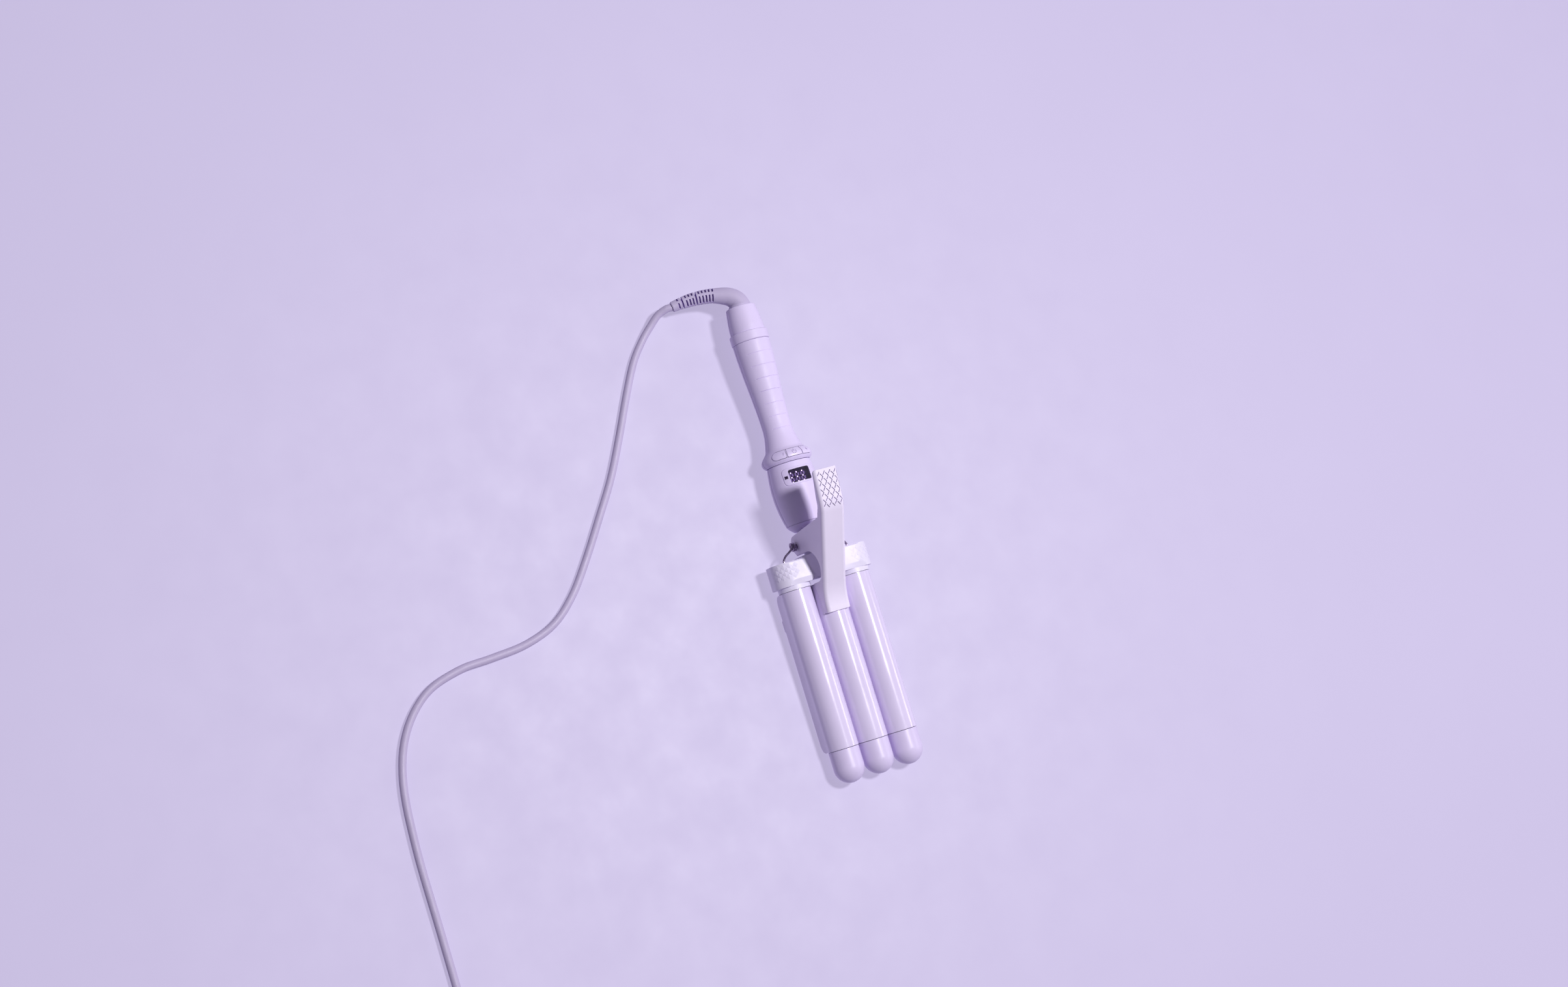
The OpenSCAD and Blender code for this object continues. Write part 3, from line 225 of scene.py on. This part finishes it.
def glinting_digits():
    """The white bars of the display's digits, which glow brightly: painted glints."""
    f = Finish("painted_glint_segments", Roughness=0.4, Emission_Strength=5.0)
    colour = f.clouds(f.noise(scale=900, detail=2), screen(240, 234, 250), screen(255, 252, 255))
    f.link(colour, "Emission Color")
    f.relief(f.noise(scale=2000, detail=1), strength=0.1, distance=0.00003)
    return f.material


window_plastic = window_glass()
glint_segments = glinting_digits()
segment_grey = moulded("dim_segments", screen(226, 208, 250), 0.5,
                       Emission_Color=(0.72, 0.58, 1, 1), Emission_Strength=0.6)

NODE_FINISHES = {
    "handle_front_shell": soft_touch, "handle_rear_shell": shaded_rear_touch, "handle_band": soft_touch,
    "head_front_cover": soft_touch, "head_rear_cover": shaded_rear_touch, "display_bezel": soft_touch,
    "nose_ring": soft_touch, "shell_screws": screw_steel, "display_window": window_plastic,
    "lcd_panel": panel_dark, "display_digits": glint_segments, "display_holder": inner_white,
    "indicator_lens": indicator_dark, "control_board": board_lacquer, "switch_carrier": inner_white,
    "neck": collar_plastic, "yoke": collar_plastic, "hinge_pin": spring_steel,
    "spring_left": spring_steel, "spring_right": spring_steel,
    "collar_left": collar_plastic, "collar_right": collar_plastic,
    "sleeve_left": sleeve_glaze, "sleeve_right": sleeve_glaze, "sleeve_centre": sleeve_glaze,
    "core_left": aluminium, "core_right": aluminium, "core_centre": aluminium,
    "heater_left": heater_mica, "heater_right": heater_mica, "heater_centre": heater_mica,
    "tip_left": tip_plastic, "tip_right": tip_plastic, "tip_centre": tip_plastic,
    "plug_centre": tip_plastic, "foot_left": tip_plastic, "foot_right": tip_plastic,
    "back_left": shaded_rear_touch, "back_right": shaded_rear_touch,
    "lever": lever_touch, "barrel_screws": screw_steel,
    "button_minus": button_plastic, "button_power": button_plastic, "button_plus": button_plastic,
    "cord_elbow": cord_rubber, "cord": cord_rubber, "cord_coil": cord_rubber,
    "cord_tail": cord_rubber, "mains_plug": cord_rubber, "plug_pins": chrome,
}

for name, material in NODE_FINISHES.items():
    nodes[name].data.materials.clear()
    nodes[name].data.materials.append(material)

BODIES = frame["record"]["behaviour"]["bodies"]
BODY_OF = {name: body for body, members in BODIES.items() for name in members}


# ---------------------------------------------------------------- shop tools

MM = 0.001
# The waver's axis is tilted, starts at this height, and has its middle over the origin
TILT = math.radians(1.78364)
AXIS_HEIGHT = 24.1964
MIDDLE = 189.8803
# Points closer than this, in metres, are one. Faces that turn less than this are one flat.
WELD = 2e-6
FLAT = math.radians(0.3)


def at_rest(x, y, z):
    """Where a place given along the waver's own axis, in millimetres, lies at rest, in metres."""
    return Vector((x * math.cos(TILT) + z * math.sin(TILT) - MIDDLE, y,
                   AXIS_HEIGHT - x * math.sin(TILT) + z * math.cos(TILT))) * MM


def only(piece):
    """Makes this piece the active one and selects nothing else."""
    bpy.ops.object.select_all(action="DESELECT")
    piece.select_set(True)
    bpy.context.view_layer.objects.active = piece


def along_waver(place):
    """The other way round: from a place at rest, in metres, to the waver's axis, in millimetres."""
    x, y, z = place.x / MM + MIDDLE, place.y / MM, place.z / MM - AXIS_HEIGHT
    return Vector((x * math.cos(TILT) - z * math.sin(TILT), y,
                   x * math.sin(TILT) + z * math.cos(TILT)))


def softened(name, edge, smooth=38, corner=32, sharp=None):
    """The node's own shape with its edges rounded by a small radius, as a mould leaves them.
    Edges that sharp() picks out stay as they are."""
    piece = bpy.data.objects.new(name + "_moulding", nodes[name].data.copy())
    bpy.context.scene.collection.objects.link(piece)
    only(piece)
    bpy.ops.mesh.customdata_custom_splitnormals_clear()
    bpy.ops.object.mode_set(mode="EDIT")
    bpy.ops.mesh.select_all(action="SELECT")
    bpy.ops.mesh.remove_doubles(threshold=WELD)
    bpy.ops.mesh.dissolve_limited(angle_limit=FLAT)
    if edge:
        mark_edges(piece, math.radians(corner), sharp)
    bpy.ops.object.mode_set(mode="OBJECT")
    if edge:
        bevel = piece.modifiers.new("edge", "BEVEL")
        bevel.width = edge * MM
        bevel.segments = 2
        bevel.limit_method = "WEIGHT"
        bevel.use_clamp_overlap = False
        bevel.miter_outer = "MITER_ARC"
        bpy.ops.object.modifier_apply(modifier="edge")
    bpy.ops.object.shade_smooth_by_angle(angle=math.radians(smooth))
    piece.modifiers.new("flats", "WEIGHTED_NORMAL").keep_sharp = True
    bpy.ops.object.modifier_apply(modifier="flats")
    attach(piece, BODY_OF[name])
    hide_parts(name)
    return piece


STRIP = 0.4


def mark_edges(piece, corner, sharp):
    """Gives a bevel weight to the edges where two faces, neither of them a narrow strip, meet at
    more than the corner angle."""
    mesh = bmesh.from_edit_mesh(piece.data)
    weight = mesh.edges.layers.float.new("bevel_weight_edge")
    for line in mesh.edges:
        narrow = any(face.calc_area() < STRIP * MM * line.calc_length() for face in line.link_faces)
        if len(line.link_faces) == 2 and not narrow and line.calc_face_angle(0) > corner:
            middle = (line.verts[0].co + line.verts[1].co) / 2
            if not (sharp and sharp(along_waver(middle))):
                line[weight] = 1
    bmesh.update_edit_mesh(piece.data)


# ---------------------------------------------------------------- mains cord

CORD_RADIUS = 3.0
CORD_LIE = 3.1
DROOP = math.radians(12.5)
ELBOW_HEADING = Vector((0, -math.cos(DROOP), -math.sin(DROOP)))
ELBOW_TIP = Vector((-14.4, 0, 0)) + 52 * ELBOW_HEADING
CORD_LEAD = (0.05, 4)
# The first run lies on the table, up to the stored turns. The tail goes from them to the plug.
CORD_ROUTE = [
    (-202, -62, 9), (-195, -70, 5.5), (-186, -79, 3.5), (-171, -91, CORD_LIE),
    (-148, -104, CORD_LIE), (-115, -121, CORD_LIE), (-86, -137, CORD_LIE), (-59, -155, CORD_LIE),
    (-30, -175, CORD_LIE), (-7, -193, CORD_LIE), (10, -213, CORD_LIE), (19, -238, CORD_LIE),
    (22, -266, CORD_LIE), (24, -292, CORD_LIE), (34, -320, CORD_LIE), (58, -342, CORD_LIE),
    (92, -354, CORD_LIE), (140, -358, CORD_LIE), (200, -358, CORD_LIE), (260, -358, 3.4),
    (306, -358, 3.8), (318, -358, 3.8),
]
CORD_TAIL = [
    (362, -314, 9.8), (362, -308, 9.8), (362, -288, 9.8), (362, -268, 6.95), (362, -252, 6.95),
    (362, -248, 6.95),
]


def smoothed(points, parts):
    """A smooth curve through the points, with so many parts from one to the next."""
    found = []
    for i in range(len(points) - 1):
        a, b = points[max(i - 1, 0)], points[i]
        c, d = points[i + 1], points[min(i + 2, len(points) - 1)]
        for k in range(parts):
            t = k / parts
            found.append(0.5 * (2 * b + (c - a) * t + (2 * a - 5 * b + 4 * c - d) * t * t
                                + (3 * b - a - 3 * c + d) * t * t * t))
    return found + [points[-1]]


def wire(name, points, radius, material, rings=6):
    """A round wire or cord along the points, as a curve of one open spline."""
    line = bpy.data.curves.new(name, "CURVE")
    line.dimensions = "3D"
    spline = line.splines.new("POLY")
    spline.points.add(len(points) - 1)
    for point, place in zip(spline.points, points):
        point.co = (*place, 1)
    line.bevel_depth = radius
    line.bevel_resolution = rings
    line.use_fill_caps = True
    piece = bpy.data.objects.new(name, line)
    bpy.context.scene.collection.objects.link(piece)
    line.materials.append(material)
    return piece


def solid_wire(*args, **kept):
    """The same wire as a mesh."""
    piece = wire(*args, **kept)
    only(piece)
    bpy.ops.object.convert(target="MESH")
    bpy.ops.object.shade_smooth_by_angle(angle=math.radians(50))
    return bpy.context.object


COIL_MIDDLE = (318, -314)
COIL_RADIUS = 44
COIL_STEP = 6
COIL_LAYERS = (3.8, 9.8)
# Degrees along the coil: where it goes, and where it steps inwards, up, and outwards again
COIL_ANGLES = range(-80, 2521, 10)
STEPS_IN = (225, 585, 945)
STEP_UP = 1275
STEPS_OUT = (1605, 1965, 2325)
STEP_TAKES = 30


def eased(angle, start):
    """0 before the step's start, 1 from its end, smooth in between."""
    t = min(1.0, max(0.0, (angle - start) / STEP_TAKES))
    return t * t * (3 - 2 * t)


def coil_turns():
    """The stored turns: inwards on the table, up at the inside, and outwards on top of the lower
    layer."""
    turns = []
    low, high = COIL_LAYERS
    for angle in COIL_ANGLES:
        inward = sum(eased(angle, start) for start in STEPS_IN)
        outward = sum(eased(angle, start) for start in STEPS_OUT)
        radius = COIL_RADIUS - COIL_STEP * inward + COIL_STEP * outward
        turn = math.radians(angle)
        turns.append(Vector((COIL_MIDDLE[0] + radius * math.cos(turn),
                             COIL_MIDDLE[1] + radius * math.sin(turn),
                             low + (high - low) * eased(angle, STEP_UP))))
    return turns


# The tie's outside and thickness, and where it sits on the coil
TIE_ACROSS, TIE_WIDE, TIE_TALL = 25.6, 7.0, 13.4
TIE_THICK = 0.6
TIE_OUT = 35
TIE_HEIGHT = 6.8
TIE_TURN = math.radians(120)
TIE_EDGE = 0.25


def cord_tie(material):
    """The band that holds the stored turns together."""
    bpy.ops.mesh.primitive_cube_add(size=1, location=(TIE_OUT * MM, 0, TIE_HEIGHT * MM),
                                    scale=(TIE_ACROSS * MM, TIE_WIDE * MM, TIE_TALL * MM))
    piece = bpy.context.object
    piece.name = "cord_tie"
    bpy.ops.object.transform_apply(location=True, rotation=True, scale=True)
    bpy.ops.object.mode_set(mode="EDIT")
    bpy.ops.mesh.select_all(action="DESELECT")
    mesh = bmesh.from_edit_mesh(piece.data)
    for face in mesh.faces:
        face.select = abs(face.normal.y) > 0.9
    bmesh.update_edit_mesh(piece.data)
    bpy.ops.mesh.inset(thickness=TIE_THICK * MM)
    bpy.ops.mesh.bridge_edge_loops()
    bpy.ops.mesh.select_all(action="SELECT")
    bpy.ops.mesh.normals_make_consistent(inside=False)
    bpy.ops.object.mode_set(mode="OBJECT")
    bevel = piece.modifiers.new("round", "BEVEL")
    bevel.width = TIE_EDGE * MM
    bevel.segments = 2
    bevel.limit_method = "ANGLE"
    bpy.ops.object.modifier_apply(modifier="round")
    bpy.ops.object.shade_smooth_by_angle(angle=math.radians(40))
    piece.data.transform(Matrix.Translation((COIL_MIDDLE[0] * MM, COIL_MIDDLE[1] * MM, 0))
                         @ Matrix.Rotation(TIE_TURN, 4, "Z"))
    piece.data.materials.append(material)
    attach(piece, "cord_swivel")
    return piece


def mains_cord():
    """The cord from the elbow to the plug, with the turns that are put away in a tied coil."""
    lead = [at_rest(*(ELBOW_TIP + reach * ELBOW_HEADING)) for reach in CORD_LEAD]
    route = [Vector(place) * MM for place in CORD_ROUTE]
    run = lead[:1] + smoothed(lead[1:] + route, parts=6)
    turns = [place * MM for place in coil_turns()]
    tail = [Vector(place) * MM for place in CORD_TAIL]
    points = run + turns[:-1] + smoothed(tail, parts=6)
    piece = wire("mains_cord", points, CORD_RADIUS * MM, cord_rubber)
    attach(piece, "cord_swivel")
    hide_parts("cord", "cord_coil", "cord_tail")
    softened("mains_plug", 0.6)
    cord_tie(foot_rubber)


# ---------------------------------------------------------------- elbow

# Its middle line: along the waver from the cap, out along the cord's heading, and its radius there
ELBOW_LINE = [
    (-0.3, 0, 8.9), (-1.3, 0, 8.8), (-3.0, 0.1, 8.3), (-5.5, 0.9, 7.9), (-8.3, 3.2, 7.6),
    (-10.8, 6.6, 7.2), (-12.5, 10.8, 6.7), (-13.8, 15, 6.2), (-14.7, 18.6, 5.85), (-15.5, 24, 5.7),
    (-15.9, 30, 5.5), (-16.0, 35, 5.3), (-15.7, 41, 4.95), (-15.2, 46.5, 4.5), (-14.4, 52, 4.15),
]
# The middles of its slots and grooves, out along the heading, and the plain rings before and after
PLAIN_TO = 17
SLOTS = (18.6, 21.2, 23.8, 26.5, 29.2, 34.5, 37.1, 39.8, 46.4)
WHOLE_GROOVES = (31.9, 43.2)
PLAIN_AFTER = (48.5, 50, 51.5)
SLOT_WIDTH = 1.25
GROOVE_WIDTH = 1.35
SLOT_FLOOR = 3.2
END_ROUND = 0.5
# The four ribs between the slots: where the first is, in degrees, and half the angle each takes
RIB_ANGLE = 11
RIB_HALF = 12
ELBOW_SIDES = 64
# The mesh made from a wire starts with the points of its two end caps
END_CAPS = 2
ACROSS_ELBOW = Vector((0, -math.sin(DROOP), math.cos(DROOP)))


def elbow_at(lines, out):
    """The middle line and radius where the elbow has come out by so much."""
    for a, b in zip(lines, lines[1:]):
        if a.y <= out < b.y:
            return a.lerp(b, (out - a.y) / (b.y - a.y))
    return lines[-1]


def elbow_piece():
    """The elbow as a tube that narrows, with slots between four ribs and two grooves that go all
    round."""
    lines = smoothed([Vector(point) for point in ELBOW_LINE], parts=5)
    rings = [p for p in lines if p.y < PLAIN_TO]
    slots, grooves = set(), set()
    for middle in sorted(SLOTS + WHOLE_GROOVES):
        half = (SLOT_WIDTH if middle in SLOTS else GROOVE_WIDTH) / 2
        (slots if middle in SLOTS else grooves).add(len(rings))
        rings += [elbow_at(lines, middle - half), elbow_at(lines, middle + half)]
    rings += [elbow_at(lines, out) for out in PLAIN_AFTER]
    rings.append(Vector((lines[-1].x, lines[-1].y, lines[-1].z - END_ROUND)))
    middles = [at_rest(*(Vector((p.x, 0, 0)) + p.y * ELBOW_HEADING)) for p in rings]
    tube = wire("cord_elbow_moulding", middles, MM, cord_rubber, rings=(ELBOW_SIDES - 4) // 2)
    for point, ring in zip(tube.data.splines[0].points, rings):
        point.radius = ring.z
    only(tube)
    bpy.ops.object.convert(target="MESH")
    piece = bpy.context.object
    piece.data.materials.append(slot_painted_shade)
    bpy.ops.object.mode_set(mode="EDIT")
    bpy.ops.mesh.select_all(action="DESELECT")
    mesh = bmesh.from_edit_mesh(piece.data)
    ring_of = mesh.verts.layers.int.new("ring")
    for corner in mesh.verts:
        corner[ring_of] = max(corner.index // ELBOW_SIDES - END_CAPS, 0)
    for face in mesh.faces:
        ring = min(corner[ring_of] for corner in face.verts)
        middle = middles[ring].lerp(middles[min(ring + 1, len(rings) - 1)], 0.5)
        off = along_waver(face.calc_center_median()) - along_waver(middle)
        angle = math.degrees(math.atan2(-off.x, off.dot(ACROSS_ELBOW)))
        off_rib = abs((angle - RIB_ANGLE + 45) % 90 - 45) > RIB_HALF
        face.select = len(face.verts) == 4 and (ring in grooves or (ring in slots and off_rib))
    bmesh.update_edit_mesh(piece.data)
    bpy.ops.mesh.extrude_region_move()
    mesh = bmesh.from_edit_mesh(piece.data)
    ring_of = mesh.verts.layers.int["ring"]
    sunk = {corner for corner in mesh.verts if corner.select}
    for corner in sunk:
        ring = corner[ring_of]
        corner.co = middles[ring] + (corner.co - middles[ring]) * (SLOT_FLOOR / rings[ring].z)
    # Faces at the sunk floors and their walls take the painted shade.
    for face in mesh.faces:
        face.material_index = int(any(corner in sunk for corner in face.verts))
    bmesh.update_edit_mesh(piece.data)
    mesh.verts.layers.int.remove(ring_of)
    bpy.ops.mesh.select_all(action="SELECT")
    bpy.ops.mesh.remove_doubles(threshold=WELD)
    bpy.ops.mesh.normals_make_consistent(inside=False)
    bpy.ops.object.mode_set(mode="OBJECT")
    bpy.ops.object.shade_smooth_by_angle(angle=math.radians(38))
    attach(piece, BODY_OF["cord_elbow"])
    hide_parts("cord_elbow")


# ---------------------------------------------------------------- spring, marks and grooves

# The hinge's place along the waver, the coils on its pin, and how far the leg reaches across the
# waver and runs along it. The other numbers in spring() bend the leg.
HINGE = 193.7
WIRE_RADIUS = 0.85
SPRING_COIL = 2.85
SPRING_START = 15.2
SPRING_PITCH = 1.8
SPRING_TURN = 630
LEG_REACH = 27.4
LEG_RUN = 10.8


def spring(side, name):
    """A torsion spring: coils on the pin's end, then a leg that bends down into the collar."""
    coil_end = SPRING_START + SPRING_PITCH * SPRING_TURN / 360
    coil = [Vector((SPRING_COIL * math.cos(a), SPRING_START + SPRING_PITCH * a / (2 * math.pi),
                    -SPRING_COIL * math.sin(a)))
            for a in (math.radians(d) for d in range(0, SPRING_TURN + 1, 10))]
    leg = [Vector(place) for place in (
        (0, coil_end, SPRING_COIL),
        (1.2, coil_end + 0.8, SPRING_COIL),
        (3, (2 * coil_end + LEG_REACH) / 3, SPRING_COIL - 0.6),
        (5.6, (coil_end + 2 * LEG_REACH) / 3 + 0.8, 1),
        (LEG_RUN - 2.4, LEG_REACH - 0.2, 0.1),
        (LEG_RUN - 0.6, LEG_REACH, 0),
        (LEG_RUN + 2.7, LEG_REACH, 0))]
    path = [Vector((SPRING_COIL, SPRING_START, 1.2))] + coil[:-1] + smoothed(leg, parts=6)
    places = [at_rest(HINGE + p.x, side * p.y, p.z) for p in path]
    piece = solid_wire(name + "_wire", places, WIRE_RADIUS * MM, spring_steel)
    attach(piece, "handle")
    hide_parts(name)


# The flared ring swells from its crease to its crest, then falls away towards the head
CREASE, CREASE_RADIUS = 117.0, 14.6
CREST, CREST_RADIUS = 125.5, 20.3
RING_SWELL = 5.7
RING_FALL, FALL_LENGTH = 2.4, 4.3
# The buttons' place along the waver, the degrees between them, and their marks
BUTTON_MIDDLE = 123.5
BUTTON_SPREAD = 37
MARK_WIRE = 0.17
MARK_HALF = 1.1
POWER_RADIUS = 1.6
TICK_MIDDLE = -1.1
MINUS_ASIDE = 3.9
PLUS_ASIDE = -0.4


def ring_radius(x):
    """The radius of the flared ring at a place along the waver."""
    if x < CREST:
        turn = math.radians(90 * (x - CREASE) / (CREST - CREASE))
        return CREASE_RADIUS + RING_SWELL * math.sin(turn) ** 1.5
    return CREST_RADIUS - RING_FALL * ((x - CREST) / FALL_LENGTH) ** 2.4


def on_button(side, down, around, lift=0.36):
    """A place on a button's face: down along the waver from its middle, around towards the plus
    side."""
    x = BUTTON_MIDDLE + down
    radius = ring_radius(x) + lift
    turn = math.radians(side * BUTTON_SPREAD) + around / radius
    return at_rest(x, radius * math.sin(turn), radius * math.cos(turn))


def button_mark(name, button, side, lines):
    """The raised symbol on a button: each line is a list of places on its face."""
    strokes = []
    for number, line in enumerate(lines):
        path = [on_button(side, down, around) for down, around in line]
        strokes.append(solid_wire(f"{name}_{number}", path, MARK_WIRE * MM, mark_grey, rings=3))
    for stroke in strokes:
        stroke.select_set(True)
    bpy.context.view_layer.objects.active = strokes[0]
    if len(strokes) > 1:
        bpy.ops.object.join()
    piece = bpy.context.object
    piece.name = name
    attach(piece, button)


def button_marks():
    """Minus, power and plus."""
    stroke = [k / 6 for k in range(-6, 7)]
    upright = [(MARK_HALF * k, MINUS_ASIDE) for k in stroke]
    button_mark("minus_mark", "button_minus", -1, [upright])
    ring = [(POWER_RADIUS * math.cos(math.radians(a)), POWER_RADIUS * math.sin(math.radians(a)))
            for a in range(-142, 143, 12)]
    tick = [(TICK_MIDDLE + k, 0) for k in stroke]
    button_mark("power_mark", "button_power", 0, [ring, tick])
    upright = [(MARK_HALF * k, PLUS_ASIDE) for k in stroke]
    across = [(0, MARK_HALF * k + PLUS_ASIDE) for k in stroke]
    button_mark("plus_mark", "button_plus", 1, [upright, across])


# The thumb pad: its end (along, up), slope and length, and the radius of the bend after it
PAD_END = (147.7, 67.5)
PAD_SLOPE = math.radians(9)
PAD_LENGTH = 22
PAD_BEND = 22
LEVER_HALF = 10
LEVER_FOOT = 250.764
LEVER_ROUND = 3
END_NEAR = 0.1
CHEEK_FROM = 0.15
# Where the pad's grooves begin and end, and the depths that count as their floors and walls
GROOVES_FROM, GROOVES_TO = 0.9, 32
GROOVE_TOP, GROOVE_FLOOR = 0.12, 0.55


def pad_depth(place):
    """(distance along the thumb pad, depth below its face) of a place along the waver."""
    right, up = place.x - PAD_END[0], place.z - PAD_END[1]
    reach = right * math.cos(PAD_SLOPE) - up * math.sin(PAD_SLOPE)
    depth = -(right * math.sin(PAD_SLOPE) + up * math.cos(PAD_SLOPE))
    if reach > PAD_LENGTH:
        out = Vector((reach - PAD_LENGTH, PAD_BEND - depth))
        reach = PAD_LENGTH + PAD_BEND * math.atan2(out.x, out.y)
        depth = PAD_BEND - out.length
    side = abs(place.y) - (LEVER_HALF - LEVER_ROUND)
    if side > 0:
        depth = LEVER_ROUND - math.hypot(side, LEVER_ROUND - depth)
    return reach, depth


def not_an_end_or_cheek(place):
    """Along the lever its edges are round already: only its two ends and the outlines of its
    cheeks are left."""
    reach, depth = pad_depth(place)
    return (abs(reach) > END_NEAR and place.x < LEVER_FOOT - END_NEAR
            and abs(place.y) < LEVER_HALF + CHEEK_FROM)


def lever_piece():
    """The lever, with painted shade on the floors and walls of its thumb grooves."""
    piece = softened("lever", 0.5, corner=45, sharp=not_an_end_or_cheek)
    piece.data.materials.append(groove_painted_shade)
    for face in piece.data.polygons:
        reach, depth = pad_depth(along_waver(face.center))
        # Faces down in the grooves take the painted shade.
        if GROOVES_FROM < reach < GROOVES_TO and GROOVE_TOP < depth < GROOVE_FLOOR:
            face.material_index = 1


BEZEL_MIDDLE = 141.7
# The middle digit is so far to the minus side, and bars this near a digit's middle lie across
DIGIT_PITCH = 3.92
DIGITS_ASIDE = 2.1
BAR_NEAR = 0.45
DIGITS_FROM = Vector((137.8, -9.4, 0))
DIGITS_GROWTH = 1.2


def digit_bars():
    """The display's bars with round ends, a fifth larger and set nearer the middle of the window.
    Those that lie across the waver glow with painted glints, those along it are dim."""
    piece = softened("display_digits", 0.3, corner=60)
    piece.data.materials.append(segment_grey)
    for face in piece.data.polygons:
        place = along_waver(face.center)
        across = (place.y + DIGITS_ASIDE) / DIGIT_PITCH
        # Bars along the waver are dim; the bars across keep the painted glints.
        if abs(across - round(across)) * DIGIT_PITCH > BAR_NEAR:
            face.material_index = 1
    for corner in piece.data.vertices:
        place = along_waver(corner.co)
        grown = DIGITS_FROM + (place - DIGITS_FROM) * DIGITS_GROWTH
        corner.co = at_rest(grown.x, grown.y, place.z)


# How far each way the openings reach, and above what height those for the buttons are
DISPLAY_ALONG, DISPLAY_ACROSS = 9, 11
BUTTONS_ALONG, BUTTONS_ABOVE = 6.5, 3


def at_the_display(place):
    """The opening for the display's frame."""
    return (abs(place.x - BEZEL_MIDDLE) < DISPLAY_ALONG and abs(place.y) < DISPLAY_ACROSS
            and place.z > 0)


def at_the_buttons(place):
    """The openings for the three buttons."""
    return abs(place.x - BUTTON_MIDDLE) < BUTTONS_ALONG and place.z > BUTTONS_ABOVE


# The nodes whose edges are only rounded, and by how much
SOFT_EDGES = {
    "handle_rear_shell": 0.25, "handle_band": 0.2, "head_rear_cover": 0.25,
    "display_bezel": 0.15, "nose_ring": 0.35, "neck": 0.2, "yoke": 0.5,
    "sleeve_left": 0.25, "sleeve_right": 0.25, "sleeve_centre": 0.25,
    "tip_left": 0.3, "tip_right": 0.3, "tip_centre": 0.3, "back_left": 0.2, "back_right": 0.2,
    "foot_left": 0.8, "foot_right": 0.8, "button_minus": 0.12, "button_power": 0.12,
    "button_plus": 0.12, "hinge_pin": 0.3,
    "display_window": 0.0, "indicator_lens": 0.1,
}
mains_cord()
for name, edge in SOFT_EDGES.items():
    softened(name, edge)
softened("collar_left", 0, smooth=14)
softened("collar_right", 0)
elbow_piece()
softened("handle_front_shell", 0.25, sharp=at_the_buttons)
softened("head_front_cover", 0.25, sharp=at_the_display)
lever_piece()
digit_bars()
spring(-1, "spring_left")
spring(1, "spring_right")
button_marks()


# ---------------------------------------------------------------- table and light

TABLE_SIZE = 80
TABLE_DROP = 0.0002


def floor():
    """A plain pale table, partly lit from within so that shadows on it stay faint."""
    bpy.ops.mesh.primitive_plane_add(size=TABLE_SIZE, location=(0, 0, -TABLE_DROP))
    piece = bpy.context.object
    piece.name = "table"
    f = Finish("pale_table", Emission_Strength=0.6)
    f.clouds(f.noise(scale=6, detail=4), screen(112, 106, 128), screen(115, 109, 131))
    f.shader.inputs["Emission Color"].default_value = (*screen(222, 211, 248), 1)
    f.gloss(f.noise(scale=30, detail=3), low=0.5, high=0.6)
    f.relief(f.noise(scale=500, detail=3), strength=0.05, distance=0.0002)
    piece.data.materials.append(f.material)


def soft_light(name, place, size, power, colour=(1, 1, 1)):
    """A soft box at this place, turned to the origin."""
    lamp = bpy.data.lights.new(name, "AREA")
    lamp.shape = "RECTANGLE"
    lamp.size, lamp.size_y = size
    lamp.energy = power
    lamp.color = colour
    holder = bpy.data.objects.new(name, lamp)
    holder.location = place
    holder.rotation_euler = (-Vector(place)).to_track_quat("-Z", "Y").to_euler()
    bpy.context.scene.collection.objects.link(holder)


def studio():
    """A dim lilac room with a small soft box nearly overhead and a weak large one at the side."""
    world = bpy.data.worlds.new("studio")
    world.use_nodes = True
    room = world.node_tree.nodes["Background"]
    room.inputs["Color"].default_value = (0.86, 0.82, 1.0, 1)
    room.inputs["Strength"].default_value = 0.115
    bpy.context.scene.world = world
    soft_light("key_light", place=(-0.14, 0.62, 2.3), size=(0.28, 0.28), power=50,
               colour=(0.98, 0.965, 1.0))
    soft_light("side_light", place=(0.5, 2.2, 1.0), size=(1.0, 0.6), power=6)


floor()
studio()
bpy.context.scene.view_settings.view_transform = "Standard"
